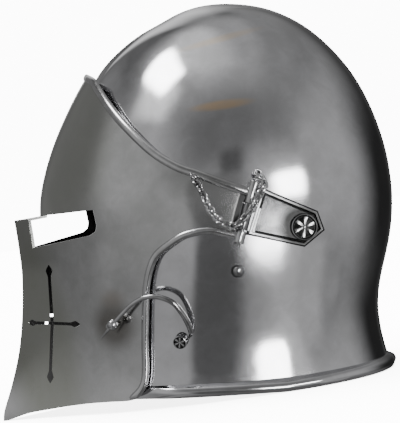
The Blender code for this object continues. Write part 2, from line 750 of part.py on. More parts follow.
def make_visor():
    visor = new_object("visor", *visor_sheet())
    outline = visor_outline()
    boolean(visor, "INTERSECT", cutter("visor_shape", *prism(outline, -SIDE_REACH, SIDE_REACH)))
    sight = both(prism(SIGHT, NASAL_HALF, SIDE_REACH))
    cross = both(prism(cross_outline(), CREASE_ROOM, SIDE_REACH))
    boolean(visor, "DIFFERENCE", cutter("sights", *sight))
    boolean(visor, "DIFFERENCE", cutter("breaths", *cross))
    upper = edge_bead(UPPER_EDGE[1:-1], -BEAD_IN)
    top = [(0.0, UPPER_EDGE[0][0] - 0.5 * BEAD, UPPER_EDGE[0][1] - 1.05 * BEAD)]
    end_y, end_z = hinge_at(0.19)
    upper.append((hinge_x() - 1.2, end_y, end_z))
    ends = [(-x, y, z) for x, y, z in reversed(upper)] + top + upper
    lower = edge_bead(LOWER_EDGE[1:], -BEAD_IN)
    end_y, end_z = hinge_at(0.90)
    lower.insert(0, (hinge_x() - 1.4, end_y, end_z))
    boolean(visor, "UNION", cutter("bead_upper", *tube(ends, BEAD, 6)))
    boolean(visor, "UNION", cutter("bead_lower", *both(tube(lower, BEAD, 6))))
    low, high = KNUCKLES
    knuckles = join(barrel(0.0, low - 0.008, BARREL), barrel(high + 0.008, 1.0, BARREL))
    boolean(visor, "UNION", cutter("visor_knuckles", *both(knuckles)))
    holes = [both(barrel(-0.2, 1.2, PIN + HOLE_PLAY, 8))]
    n = face_normal(visor_half, *STAPLE)
    spot = Vector((visor_half(*STAPLE), STAPLE[0], STAPLE[1]))
    holes.append(both(rod_through(spot, n, STAPLE_SHANK + HOLE_PLAY, 8)))
    holes.append(rod_through(catch_base(), hook_axis(), CATCH_SHANK + HOLE_PLAY, 8))
    boolean(visor, "DIFFERENCE", cutter("visor_holes", *join(*holes)))
    return steel(visor)


def make_plates():
    for side, word in ((1.0, "left"), (-1.0, "right")):
        cy = sum(c[0] for c in PLATE_CORNERS) / 5.0
        cz = sum(c[1] for c in PLATE_CORNERS) / 5.0

        def inset(amount):
            ring = []
            for k in range(5):
                p = Vector(PLATE_CORNERS[k])
                a = (p - Vector(PLATE_CORNERS[k - 1])).normalized()
                b = (Vector(PLATE_CORNERS[(k + 1) % 5]) - p).normalized()
                na, nb = Vector((-a.y, a.x)), Vector((-b.y, b.x))
                middle = Vector((cy, cz)) - p
                if na.dot(middle) < 0:
                    na, nb = -na, -nb
                ring.append(p + (na + nb) * (amount / (1.0 + na.dot(nb))))
            return ring

        outer = plate_outer()
        layers = [(0.0, plate_inner()), (0.0, outer - 0.8 * PLATE_BEVEL), (PLATE_BEVEL, outer),
                  (GROOVE_IN, outer), (GROOVE_IN + 0.6, outer - GROOVE_DEEP), (GROOVE_IN + 1.2, outer)]
        verts, faces = [], []
        for amount, x in layers:
            verts += [(x, p.x, p.y) for p in inset(amount)]
        for k in range(len(layers) - 1):
            for j in range(5):
                i = (j + 1) % 5
                faces.append([k * 5 + j, k * 5 + i, k * 5 + 5 + i, k * 5 + 5 + j])
        faces.append([0, 1, 2, 3, 4])
        last = (len(layers) - 1) * 5
        faces.append([last + j for j in range(5)])
        body = (verts, faces)
        low, high = KNUCKLES
        tongue = [hinge_at(low + 0.02, -TONGUE_START), hinge_at(low + 0.02, -TONGUE_END),
                  hinge_at(high - 0.02, -TONGUE_END), hinge_at(high - 0.02, -TONGUE_START)]
        arm = prism(tongue, plate_inner() + SEAT_GAP, plate_outer() - SEAT_GAP)
        knuckle = barrel(low + 0.008, high - 0.008, BARREL)
        hole = barrel(-0.2, 1.2, PIN + HOLE_PLAY, 8)
        spot = Vector((plate_outer(), PIVOT[0], PIVOT[1]))
        bore = rod_through(spot, (1.0, 0.0, 0.0), PIVOT_SHANK + HOLE_PLAY, 12)
        parts = [body, arm, knuckle, join(hole, bore)]
        if side < 0:
            parts = [mirrored(p) for p in parts]
        plate = new_object("pivot_plate_" + word, *parts[0])
        boolean(plate, "UNION", cutter("tongue_" + word, *parts[1]))
        boolean(plate, "UNION", cutter("plate_knuckle_" + word, *parts[2]))
        boolean(plate, "DIFFERENCE", cutter("plate_holes_" + word, *parts[3]))
        steel(plate, 0.5, 0.4)


def rosette_profile(head, high, shank, through, foot):
    """Rivet with a raised edge, a sunk ring and a boss; last row is the inner head."""
    return [(0.0, high), (head * 0.17, high * 0.95), (head * 0.28, high * 0.62),
            (head * 0.70, high * 0.55), (head * 0.76, high * 0.42), (head * 0.84, high * 0.80),
            (head * 0.95, high * 0.70), (head, high * 0.30), (head, 0.0), (shank, 0.0),
            (shank, -through), (foot, -through), (foot, -through - INNER_HEAD),
            (0.0, -through - INNER_HEAD)]


def petals(count, high, rings):
    """Raise every other pair of spokes between two rings of a rosette."""
    def bump(k, j):
        return high if k in rings and j % count == 0 else 0.0
    return bump


def make_rosettes():
    for side, word in ((1.0, "left"), (-1.0, "right")):
        origin = (side * (plate_outer() + SEAT_GAP), PIVOT[0], PIVOT[1])
        wall = bowl_half(*PIVOT) - SHEET
        reach = plate_outer() + SEAT_GAP - wall + 2.3 + SEAT_GAP
        profile = rosette_profile(PIVOT_HEAD, PIVOT_HIGH, PIVOT_SHANK, reach,
                                   PIVOT_SHANK + INNER_HEAD)
        part = lathe(profile, 12, origin, (side, 0.0, 0.0), petals(2, 0.9, (3,)))
        steel(new_object("pivot_rosette_" + word, *part), 0.45, 0.35)
        n = face_normal(bowl_half, *STRAP_RIVET)
        axis = Vector((side * n.x, n.y, n.z))
        face = Vector((side * bowl_half(*STRAP_RIVET), STRAP_RIVET[0], STRAP_RIVET[1]))
        foot = -(SHEET + 2.5 + SEAT_GAP)
        profile = [(0.0, STRAP_HIGH), (0.66 * STRAP_HEAD, 0.71 * STRAP_HIGH), (STRAP_HEAD, 0.0),
                   (STRAP_SHANK, 0.0), (STRAP_SHANK, foot), (STRAP_SHANK + 1.1, foot),
                   (STRAP_SHANK + 1.1, foot - 0.8), (0.0, foot - 0.8)]
        part = lathe(profile, 10, face + axis * (SEAT_GAP + 0.05), axis)
        steel(new_object("strap_rivet_" + word, *part), 0.55, 0.3)


def hook_axis():
    return Vector((1.0, -HOOK_LEAN[0], -HOOK_LEAN[1])).normalized()


def hook_base():
    return Vector((bowl_half(*HOOK_PIVOT), HOOK_PIVOT[0], HOOK_PIVOT[1]))


def over_hook_plane(y, z, height):
    """Point from shares of LONG and HIGH, and of HOOK_RISE over the plane the hook turns in."""
    base = hook_base()
    n = hook_axis()
    y, z = y * LONG, z * HIGH
    x = base.x + HOOK_LEAN[0] * (y - base.y) + HOOK_LEAN[1] * (z - base.z)
    return Vector((x + height * HOOK_RISE / n.x, y, z))


def catch_base():
    y, z = HOOK_BALL[0] * LONG, HOOK_BALL[1] * HIGH
    return Vector((visor_half(y, z), y, z))


def make_hook():
    base, axis = hook_base(), hook_axis()
    arm = [over_hook_plane(y, z, h) for y, z, h, _ in HOOK_ARM]
    radii = [row[3] * HOOK_THICK for row in HOOK_ARM]
    top = HOOK_EYE_LIFT + HOOK_EYE_THICK
    eye = [(0.0, top), (HOOK_EYE, top), (HOOK_EYE, HOOK_EYE_LIFT), (0.0, HOOK_EYE_LIFT)]
    hook = new_object("hook", *lathe(eye, 12, base, axis))
    boolean(hook, "UNION", cutter("hook_arm", *tube(arm, radii, 6)))
    ball = over_hook_plane(*HOOK_BALL)
    r = BALL
    profile = [(r * math.sin(math.pi * k / 7), r * math.cos(math.pi * k / 7)) for k in range(8)]
    boolean(hook, "UNION", cutter("hook_ball", *lathe(profile, 12, ball, axis)))
    boolean(hook, "DIFFERENCE", cutter("hook_eye", *rod_through(base, axis, HOOK_SHANK + HOLE_PLAY, 10)))
    steel(hook, 0.55, 0.3)
    seat = top + SEAT_GAP
    profile = rosette_profile(HOOK_HEAD, HOOK_HEAD_HIGH, HOOK_SHANK, seat + SHEET + 2.3 + SEAT_GAP,
                              HOOK_SHANK + INNER_HEAD)
    head = lathe(profile, 12, base + axis * seat, axis, petals(2, 0.5, (3,)))
    steel(new_object("hook_rosette", *head), 0.45, 0.35)
    foot = catch_base()
    gap = (ball - foot).dot(axis) - r
    top, seat, under = gap - SEAT_GAP, 0.7 + SEAT_GAP, -(SHEET + 1.7 + SEAT_GAP)
    profile = [(0.0, top), (0.75 * CATCH, top), (CATCH, top - 0.5), (CATCH, seat),
               (CATCH_SHANK, seat), (CATCH_SHANK, under), (CATCH_SHANK + 0.9, under),
               (CATCH_SHANK + 0.9, under - 0.7), (0.0, under - 0.7)]
    steel(new_object("hook_catch", *lathe(profile, 10, foot, axis)), 0.5, 0.35)


def make_pins():
    y, z = hinge_at(-0.03)
    top = Vector((hinge_x(), y, z))
    y, z = hinge_at(1.035)
    foot = Vector((hinge_x(), y, z))
    along = (top - foot).normalized()
    eye = top + along * EYE_RISE
    for side, word in ((1.0, "left"), (-1.0, "right")):
        shaft = tube([foot - along * 0.7, top + along * (EYE_RISE - EYE_OUT + 0.4)], PIN, 8)
        ring = ring_link(eye, along, (0.0, 1.0, -0.43), (EYE_OUT, EYE_OUT), EYE_WIRE, 12, 5)
        cap = tube([foot - along * 1.2, foot - along * 0.2], PIN + 0.75, 8)
        parts = [shaft, ring, cap]
        if side < 0:
            parts = [mirrored(p) for p in parts]
        pin = new_object("hinge_pin_" + word, *parts[0])
        boolean(pin, "UNION", cutter("pin_eye_" + word, *parts[1]))
        boolean(pin, "UNION", cutter("pin_cap_" + word, *parts[2]))
        steel(pin, 0.6, 0.25)
    return eye


def make_staples():
    n = face_normal(visor_half, *STAPLE)
    face = Vector((visor_half(*STAPLE), STAPLE[0], STAPLE[1]))
    eye = face + n * STAPLE_RISE
    for side, word in ((1.0, "left"), (-1.0, "right")):
        neck = STAPLE_RISE - STAPLE_OUT + 0.6
        under = -(SHEET + 0.5 + SEAT_GAP)
        shank = [(0.0, neck), (STAPLE_SHANK, neck), (STAPLE_SHANK, under),
                 (STAPLE_SHANK + 1.1, under), (STAPLE_SHANK + 1.1, under - 0.8), (0.0, under - 0.8)]
        parts = [lathe(shank, 8, face, n),
                 ring_link(eye, n, (0.0, 0.4, -0.92), (STAPLE_OUT, STAPLE_OUT), STAPLE_WIRE, 12, 5)]
        if side < 0:
            parts = [mirrored(p) for p in parts]
        staple = new_object("chain_staple_" + word, *parts[0])
        boolean(staple, "UNION", cutter("staple_eye_" + word, *parts[1]))
        steel(staple, 0.6, 0.25)
    return eye


def chain_points(start, end):
    """Evenly spaced link ends along the hanging line of the left chain."""
    line = [start]
    for share_y, share_z, high in CHAIN_LINE:
        y, z = share_y * LONG, share_z * HIGH
        line.append(Vector((visor_half(min(y, CHAIN_BACK), z) + high, y, z)))
    line.append(end)
    fine = []
    n = len(line)
    for k in range(n - 1):
        p0, p1 = line[max(k - 1, 0)], line[k]
        p2, p3 = line[k + 1], line[min(k + 2, n - 1)]
        for j in range(8):
            t = j / 8.0
            fine.append(0.5 * (2 * p1 + (p2 - p0) * t + (2 * p0 - 5 * p1 + 4 * p2 - p3) * t * t
                               + (3 * p1 - p0 - 3 * p2 + p3) * t ** 3))
    fine.append(line[-1])
    total = sum((b - a).length for a, b in zip(fine[:-1], fine[1:]))
    count = 2 * round(total / LINK_PITCH / 2.0)
    step = total / count
    marks, run, goal = [fine[0]], 0.0, step
    for a, b in zip(fine[:-1], fine[1:]):
        piece = (b - a).length
        while run + piece >= goal - 1e-9 and len(marks) < count + 1:
            marks.append(a.lerp(b, (goal - run) / piece))
            goal += step
        run += piece
    if len(marks) < count + 1:
        marks.append(fine[-1])
    return marks, step


def make_chains(start, end):
    marks, step = chain_points(start, end)
    out = Vector((1.0, -0.15, 0.0))
    sets = [[], []]
    stretch = step / LINK_PITCH
    half = (LINK_LONG + LINK_PITCH * (stretch - 1.0) / 2.0, LINK_HALF_WIDE)
    for k in range(len(marks) - 1):
        a, b = marks[k], marks[k + 1]
        along = (b - a).normalized()
        flat = along.cross(out).normalized()
        side = flat.cross(along).normalized()
        turn = (k % 2) * math.pi / 2 + 0.6 * math.sin(math.pi * k / (len(marks) - 2))
        wide = flat * math.cos(turn) + side * math.sin(turn)
        sets[k % 2].append(ring_link((a + b) / 2, along, wide, half, LINK_WIRE, 10, 5))
    for side, word in ((1.0, "left"), (-1.0, "right")):
        parts = [join(*sets[0]), join(*sets[1])]
        if side < 0:
            parts = [mirrored(p) for p in parts]
        chain = new_object("chain_" + word, *parts[0])
        boolean(chain, "UNION", cutter("links_" + word, *parts[1]))
        steel(chain, 0.62, 0.25)


def clear_scene():
    for obj in list(bpy.data.objects):
        bpy.data.objects.remove(obj, do_unlink=True)


clear_scene()
CUTTERS = bpy.data.collections.new("cutters")
bpy.context.scene.collection.children.link(CUTTERS)
make_skull()
make_visor()
make_plates()
make_rosettes()
make_hook()
pin_eye = make_pins()
staple_eye = make_staples()
make_chains(staple_eye, pin_eye)
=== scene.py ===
import json
import math

import bmesh
import bpy
import numpy as np
from bpy.props import FloatProperty, FloatVectorProperty, IntProperty, PointerProperty
from mathutils import Matrix, Vector

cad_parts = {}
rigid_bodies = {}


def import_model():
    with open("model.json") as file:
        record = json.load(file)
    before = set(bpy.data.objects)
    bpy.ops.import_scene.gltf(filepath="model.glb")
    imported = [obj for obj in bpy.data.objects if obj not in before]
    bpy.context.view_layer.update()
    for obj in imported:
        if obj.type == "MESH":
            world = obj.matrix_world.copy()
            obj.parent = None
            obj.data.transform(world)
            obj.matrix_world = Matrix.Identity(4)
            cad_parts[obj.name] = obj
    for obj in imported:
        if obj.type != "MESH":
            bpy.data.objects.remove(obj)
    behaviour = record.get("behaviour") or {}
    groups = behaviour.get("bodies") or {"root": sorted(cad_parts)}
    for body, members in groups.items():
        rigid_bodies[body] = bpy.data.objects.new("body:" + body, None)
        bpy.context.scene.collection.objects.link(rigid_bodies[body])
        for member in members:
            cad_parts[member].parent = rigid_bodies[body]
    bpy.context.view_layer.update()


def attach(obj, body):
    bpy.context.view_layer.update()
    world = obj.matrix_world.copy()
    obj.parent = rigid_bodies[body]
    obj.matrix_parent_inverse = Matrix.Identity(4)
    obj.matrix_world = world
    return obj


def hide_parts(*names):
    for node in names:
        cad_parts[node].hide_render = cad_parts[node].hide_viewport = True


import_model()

bl_info = {
    "name": "Visored barbuta",
    "version": (1, 0, 0),
    "blender": (4, 5, 0),
    "location": "3D View > Sidebar > Barbuta",
    "description": "Polished steel barbuta with a lifting visor, hinge chains and a hook latch",
    "category": "Add Mesh",
}

MM = 0.001

# Sizes in millimetres, as in the part's own source
HIGH = 274.2
LONG = 301.0
WIDE = 202.4
SHEET = 1.6
KEEL_HIGH = 2.2
KEEL_WIDE = 8.0
VISOR_PROUD = 4.8
SIDE_LIFT = 0.078
LIFT_FROM = 45.0
LIFT_FADE = 40.0
BACK_POWER = 2.15
SPLIT = 42.6
PIN = 1.25
SEAT_GAP = 0.3
SLIDE_GAP = 1.3
PLATE_THICK = 2.2
BARREL = 3.6
SHELF_WALL = 0.6
RIM_HIGH = 8.6
RIM_OUT = 5.8
NASAL_HALF = 13.0
CROSS_SLOT = 0.95
CROSS_LEAF = 2.3
CROSS_CUT = 1.12
BREATH_START = 4.0
BORE_ROOM = 0.3
BALL = 3.9
PIN_EYE = 4.6
STAPLE_EYE = 4.4
LINK_BROAD = 3.05
STRAP_HEAD = 3.5
HOOK_RISE = 9.9
HOOK_LEAN = (0.40, 0.25)
SIDE_REACH = 140.0
RINGS = 104
QUARTER = 36

# The breath on the far side, forward and up, so that the two crosses don't line up from the side
FAR_BREATH = (2.2, 3.0)

# z share of height; bowl front, plate front, back as shares of length; half width as a share of
# width; middle as a share of length; how pointed the front is and how full the sides are
SECTION_SHARES = [
    (1.0000, 0.1196, 0.1196, 0.1196, 0.0000, 0.1196, 2.00, 2.00),
    (0.9964, 0.0797, 0.0664, 0.1661, 0.0667, 0.1196, 2.00, 2.00),
    (0.9869, 0.0432, 0.0266, 0.2110, 0.1210, 0.1229, 2.00, 2.00),
    (0.9701, 0.0050, -0.0133, 0.2575, 0.1754, 0.1262, 2.00, 2.00),
    (0.9464, -0.0498, -0.0731, 0.2990, 0.2243, 0.1296, 2.00, 2.00),
    (0.9136, -0.1013, -0.1429, 0.3405, 0.2678, 0.1329, 2.00, 2.00),
    (0.8716, -0.1495, -0.1794, 0.3787, 0.3147, 0.1362, 1.94, 2.03),
    (0.8206, -0.1877, -0.2169, 0.4146, 0.3666, 0.1395, 1.86, 2.10),
    (0.7622, -0.2276, -0.2532, 0.4458, 0.4111, 0.1429, 1.77, 2.20),
    (0.6966, -0.2658, -0.2890, 0.4698, 0.4476, 0.1462, 1.67, 2.35),
    (0.6273, -0.2973, -0.3189, 0.4870, 0.4753, 0.1495, 1.57, 2.45),
    (0.5543, -0.3206, -0.3412, 0.4977, 0.4931, 0.1495, 1.48, 2.55),
    (0.5142, -0.3306, -0.3468, 0.4997, 0.4980, 0.1495, 1.43, 2.60),
    (0.4741, -0.3372, -0.3488, 0.5000, 0.5000, 0.1495, 1.40, 2.60),
    (0.3939, -0.3439, -0.3555, 0.4917, 0.4980, 0.1495, 1.35, 2.60),
    (0.3209, -0.3522, -0.3638, 0.4744, 0.4852, 0.1495, 1.35, 2.60),
    (0.2553, -0.3605, -0.3721, 0.4512, 0.4684, 0.1462, 1.35, 2.60),
    (0.1969, -0.3671, -0.3787, 0.4332, 0.4506, 0.1429, 1.35, 2.60),
    (0.1459, -0.3738, -0.3854, 0.4252, 0.4377, 0.1395, 1.35, 2.60),
    (0.0948, -0.3821, -0.3937, 0.4259, 0.4293, 0.1362, 1.35, 2.60),
    (0.0547, -0.3904, -0.4020, 0.4299, 0.4259, 0.1329, 1.35, 2.60),
    (0.0346, -0.3953, -0.4070, 0.4332, 0.4269, 0.1329, 1.35, 2.60),
    (-0.0365, -0.4120, -0.4252, 0.4452, 0.4348, 0.1329, 1.35, 2.60),
]
SECTION_NAMES = ("bowl_front", "plate_front", "back", "half_width", "middle", "point", "side")

# Ridge of the visor's lower part: z share, y share, half angle of the beak in degrees
BEAK_SHARES = [
    (-0.0438, -0.5017, 46.0), (0.0000, -0.4993, 46.0), (0.0135, -0.4997, 46.0),
    (0.0332, -0.4917, 47.0), (0.0726, -0.4748, 48.0), (0.1120, -0.4601, 49.0),
    (0.1721, -0.4405, 51.0), (0.2330, -0.4266, 52.0), (0.3151, -0.4136, 53.0),
    (0.3979, -0.4066, 54.0), (0.4559, -0.4066, 55.0), (0.5120, -0.4080, 55.0),
]
SHELF_TOP = 0.5120 * HIGH
BROW_FOOT = SHELF_TOP + SHELF_WALL

# Outlines in side view: y share of length, z share of height
FACE_EDGE = [
    (-0.7309, -0.1094), (-0.2027, -0.1094), (-0.2027, 0.2188), (-0.1894, 0.3355),
    (-0.1927, 0.4230), (-0.2093, 0.5033), (-0.2392, 0.5470), (-0.2857, 0.5653),
    (-0.3654, 0.5726), (-0.7309, 0.5726),
]
UPPER_EDGE = [
    (-0.1894, 0.8607), (-0.1777, 0.8384), (-0.1678, 0.8063), (-0.1555, 0.7724),
    (-0.1389, 0.7356), (-0.1216, 0.7046), (-0.0944, 0.6619), (-0.0661, 0.6273),
    (-0.0266, 0.5937), (0.0043, 0.5766), (0.0561, 0.5460), (0.0977, 0.5222), (0.1216, 0.5080),
]
LOWER_EDGE = [
    (0.0807, 0.3975), (0.0389, 0.4147), (0.0063, 0.4223), (-0.0276, 0.4201),
    (-0.0505, 0.4136), (-0.0860, 0.3939), (-0.1060, 0.3767), (-0.1203, 0.3490),
    (-0.1312, 0.3129), (-0.1375, 0.2757), (-0.1505, 0.1765), (-0.1585, 0.1018),
    (-0.1674, 0.0653), (-0.1841, 0.0423), (-0.2037, 0.0299),
]
FOOT_EDGE = [
    (-0.2528, 0.0306), (-0.2977, 0.0303), (-0.3432, 0.0270), (-0.3894, 0.0219),
    (-0.4355, 0.0160), (-0.4661, 0.0073), (-0.4884, 0.0007), (-0.5017, 0.0000),
]
SIGHT = [
    (-0.4153, 0.4325), (-0.3678, 0.4365), (-0.2449, 0.4515), (-0.2306, 0.4599),
    (-0.2266, 0.4741), (-0.2292, 0.5150), (-0.4153, 0.5150),
]
CROSS_MIDDLE = (-0.3548, 0.2396)
CROSS_ARMS = [(-0.3439, 0.3899, 2.0), (-0.2920, 0.2312, 1.5), (-0.3794, 0.0872, 2.0),
              (-0.4100, 0.2454, 1.3)]
HINGE_TOP = (0.1326 * LONG, 0.5310 * HIGH)
HINGE_FOOT = (0.0761 * LONG, 0.3873 * HIGH)
KNUCKLES = (0.366, 0.794)
PLATE_CORNERS = [(0.1458, 0.5146), (0.2645, 0.4369), (0.2741, 0.3880), (0.2239, 0.3538),
                 (0.0980, 0.4034)]
PIVOT = (0.2279 * LONG, 0.4030 * HIGH)
STRAP_RIVET = (0.0694 * LONG, 0.3173 * HIGH)
HOOK_PIVOT = (-0.0751 * LONG, 0.1637 * HIGH)
STAPLE = (-0.0020 * LONG, 0.5602 * HIGH)

# Hook: y, z shares, height as a share of HOOK_RISE, radius in millimetres
HOOK_ARM = [
    (-0.0671, 0.1630, 0.182, 0.76), (-0.0575, 0.1699, 0.192, 0.80),
    (-0.0528, 0.1831, 0.333, 1.70), (-0.0581, 0.2079, 0.586, 2.10),
    (-0.0694, 0.2360, 0.808, 2.00), (-0.0857, 0.2629, 0.919, 1.90),
    (-0.1106, 0.2797, 0.980, 1.81), (-0.1326, 0.2852, 1.000, 1.70),
    (-0.1542, 0.2830, 1.000, 1.60), (-0.1771, 0.2710, 1.000, 1.49),
    (-0.1967, 0.2538, 1.000, 1.41), (-0.2136, 0.2371, 0.990, 1.41),
    (-0.2339, 0.2159, 0.970, 1.20), (-0.2532, 0.1947, 0.929, 0.45),
]
HOOK_BALL = (-0.2236, 0.2268, 0.980)

# Chain from the staple to the pin's eye: y, z shares, height over the visor face in millimetres
CHAIN_LINE = [
    (0.00864, 0.53027, 3.6), (0.01860, 0.49088, 3.0), (0.02857, 0.46426, 3.0),
    (0.04385, 0.44383, 3.0), (0.06246, 0.43144, 3.6), (0.07940, 0.43399, 6.6),
    (0.09502, 0.44785, 8.1), (0.11262, 0.46389, 7.9), (0.13256, 0.49271, 7.2),
    (0.15150, 0.51860, 4.6), (0.14917, 0.53392, 2.7),
]

CAMERA_EYE = (1.600, -0.1373, 0.1670)
CAMERA_TARGET = (0.0, 0.0097, 0.1282)
CAMERA_UP = (0.0, 0.1392, 0.9903)
CAMERA_LENS = 201.5
FLOOR_SIZE = 8.0
FLOOR_GLOW = 5.0
SUN_SPREAD = 110.0
SUN_POWER = 30.0
BACKDROP = 15.0
ROOM_LIGHT = 0.18
OVERHEAD_TURN = 80.5815

# Studio seen in the polish: azimuth, elevation, half width, half height in degrees, softness,
# brightness. Azimuth 0 is the wearer's left, -90 the front, 90 the back. Later rows lie over
# earlier ones.
STUDIO = [
    (0, 90, 25, 34, 1.1, 0.58),
    (-98, 22, 55, 23, 0.4, 0.29),
    (-64, 0, 32, 34, 0.15, 0.30),
    (-29, 50, 37, 69, 1.1, 0.53),
    (46, 12, 82, 32, 1.4, 0.58),
    (96, 58, 360, 10, 1.4, 0.36),
    (-66, 24, 20, 24, 1.0, 0.64),
    (-66, 54, 12, 8, 1.0, 1.7),
    (-4, 34, 24, 18, 1.4, 0.22),
    (-8, 6, 14, 10, 0.25, 0.27),
    (-12, -26, 10, 26, 0.5, 0.14),
    (19, -7, 12, 24, 1.4, 0.93),
    (63, -37, 13, 13, 0.35, 0.41),
    (25, 6, 11, 5, 0.7, 15.0),
    (40, -26, 12, 10, 1.0, 0.62),
    (9, -9, 6, 11, 0.15, 16.0),
    (-1, 20, 4, 5, 1.0, 0.13),
    (136, -3, 34, 24, 1.4, 0.03),
    (182, 16, 8, 29, 1.4, 1.2),
    (-67, 80, 17, 10, 1.3, 1.1),
    (-80, 64, 11, 8, 0.5, 16.0),
]


def side_view(shares):
    return [(y * LONG, z * HIGH) for y, z in shares]


# Surfaces of the bowl and the visor


def monotone(xs, ys, x):
    """Monotone cubic through a table with rising xs."""
    xs, ys, x = np.asarray(xs, float), np.asarray(ys, float), np.asarray(x, float)
    h = np.diff(xs)
    s = np.diff(ys) / h
    m = np.zeros(len(xs))
    m[0], m[-1] = s[0], s[-1]
    same = s[:-1] * s[1:] > 0
    m[1:-1][same] = 2 * s[:-1][same] * s[1:][same] / (s[:-1][same] + s[1:][same])
    k = np.clip(np.searchsorted(xs, x) - 1, 0, len(xs) - 2)
    t = np.clip((x - xs[k]) / h[k], 0, 1)
    return ((2 * t ** 3 - 3 * t * t + 1) * ys[k] + (t ** 3 - 2 * t * t + t) * h[k] * m[k]
            + (3 * t * t - 2 * t ** 3) * ys[k + 1] + (t ** 3 - t * t) * h[k] * m[k + 1])


def eased(values, sigma):
    """Smooths a row of samples without moving its two ends."""
    half = int(3 * sigma)
    kernel = np.exp(-0.5 * (np.arange(-half, half + 1) / sigma) ** 2)
    kernel /= kernel.sum()
    head = 2 * values[0] - values[half:0:-1]
    tail = 2 * values[-1] - values[-2:-half - 2:-1]
    return np.convolve(np.concatenate([head, values, tail]), kernel, mode="valid")


DEPTH = np.arange(0.0, math.sqrt(1.036 * HIGH) + 0.01, 0.02)


def section_columns():
    rows = np.array(SECTION_SHARES)
    scale = (LONG, LONG, LONG, WIDE, LONG, 1.0, 1.0)
    down = np.sqrt(np.maximum(0.0, HIGH * (1.0 - rows[:, 0])))
    columns = {}
    for k, name in enumerate(SECTION_NAMES):
        values = monotone(down, rows[:, k + 1] * scale[k], DEPTH)
        columns[name] = eased(values, 12)
    return columns


COLUMNS = section_columns()


def section(z):
    down = math.sqrt(max(0.0, HIGH - z))
    return {name: float(np.interp(down, DEPTH, values)) for name, values in COLUMNS.items()}


BEAK_Z = [row[0] * HIGH for row in BEAK_SHARES]
BEAK_LEVELS = np.linspace(BEAK_Z[0], BEAK_Z[-1], 300)
BEAK_RIDGE = eased(monotone(BEAK_Z, [row[1] * LONG for row in BEAK_SHARES], BEAK_LEVELS), 8)
BEAK_ANGLE = eased(monotone(BEAK_Z, [row[2] for row in BEAK_SHARES], BEAK_LEVELS), 8)


def bowl_half(y, z):
    s = section(z)
    wide = s["half_width"] - KEEL_HIGH
    if y <= s["middle"]:
        d = (s["middle"] - y) / (s["middle"] - s["bowl_front"])
        return wide * max(0.0, 1.0 - d ** s["side"]) ** (1.0 / s["point"])
    d = (y - s["middle"]) / (s["back"] - s["middle"])
    return wide * max(0.0, 1.0 - d ** BACK_POWER) ** 0.5


def cheek_point(s, turn):
    wide = s["half_width"] - KEEL_HIGH + VISOR_PROUD
    angle = math.radians(turn)
    x = wide * math.sin(angle) ** (2.0 / s["point"])
    d = max(0.0, math.cos(angle)) ** (2.0 / s["side"])
    return x, s["middle"] - (s["middle"] - s["plate_front"]) * d


def visor_point(z, step, s=None):
    """Outer face of the visor; step is a beak share up to 1, else a turn in degrees."""
    s = s or section(z)
    if step > 1.0:
        return cheek_point(s, step)
    if z >= BROW_FOOT:
        return cheek_point(s, SPLIT * step)
    qx, qy = cheek_point(s, SPLIT)
    nx, ny = cheek_point(s, SPLIT + 1.0)
    lean = (nx - qx) / (ny - qy)
    ridge = float(np.interp(z, BEAK_LEVELS, BEAK_RIDGE))
    steep = math.tan(math.radians(float(np.interp(z, BEAK_LEVELS, BEAK_ANGLE))))
    run = (steep * (qy - ridge) - qx) / (steep - lean)
    run = min(max(run, 8.0), 0.75 * (qy - ridge))
    bx, by = qx - lean * run, qy - run
    k = 1.0 - step
    return (2 * k * step * bx + step * step * qx,
            k * k * ridge + 2 * k * step * by + step * step * qy)


def visor_half(y, z):
    s = section(z)
    before = visor_point(z, 0.0, s)
    if y <= before[1]:
        return 0.0
    steps = [0.02 * k for k in range(1, 51)] + [SPLIT + 1.0 + k for k in range(47)] + [90.0]
    for step in steps:
        x, py = visor_point(z, step, s)
        if py >= y:
            t = (y - before[1]) / max(py - before[1], 1e-9)
            return before[0] + t * (x - before[0])
        before = (x, py)
    return before[0]


def face_normal(half, y, z):
    dy = (half(y + 1.0, z) - half(y - 1.0, z)) / 2.0
    dz = (half(y, z + 1.0) - half(y, z - 1.0)) / 2.0
    return Vector((1.0, -dy, -dz)).normalized()


WIDEST = max(row[4] for row in SECTION_SHARES) * WIDE - KEEL_HIGH
HINGE_X = WIDEST + SEAT_GAP + 1.8 + BARREL
PLATE_INNER = WIDEST + SLIDE_GAP
PLATE_OUTER = PLATE_INNER + PLATE_THICK


def hinge_at(share, forward=0.0):
    """Point on the hinge's line, by its share from the top and millimetres forward of it."""
    dy, dz = HINGE_FOOT[0] - HINGE_TOP[0], HINGE_FOOT[1] - HINGE_TOP[1]
    ahead = forward / math.hypot(dy, dz)
    return HINGE_TOP[0] + share * dy + ahead * dz, HINGE_TOP[1] + share * dz - ahead * dy


def hook_axis():
    return Vector((1.0, -HOOK_LEAN[0], -HOOK_LEAN[1])).normalized()


def hook_base():
    return Vector((bowl_half(*HOOK_PIVOT), HOOK_PIVOT[0], HOOK_PIVOT[1]))


def over_hook_plane(y, z, height):
    base, n = hook_base(), hook_axis()
    y, z = y * LONG, z * HIGH
    x = base.x + HOOK_LEAN[0] * (y - base.y) + HOOK_LEAN[1] * (z - base.z)
    return Vector((x + height * HOOK_RISE / n.x, y, z))


def spline(points, steps):
    """Smooth line through points of any number of columns."""
    p = np.asarray(points, float)
    p = np.vstack([2 * p[0] - p[1], p, 2 * p[-1] - p[-2]])
    out = []
    for k in range(1, len(p) - 2):
        for j in range(steps):
            t = j / steps
            a, b, c, d = p[k - 1], p[k], p[k + 1], p[k + 2]
            out.append(0.5 * (2 * b + (c - a) * t + (2 * a - 5 * b + 4 * c - d) * t * t
                              + (3 * b - a - 3 * c + d) * t ** 3))
    out.append(p[-2])
    return np.array(out)


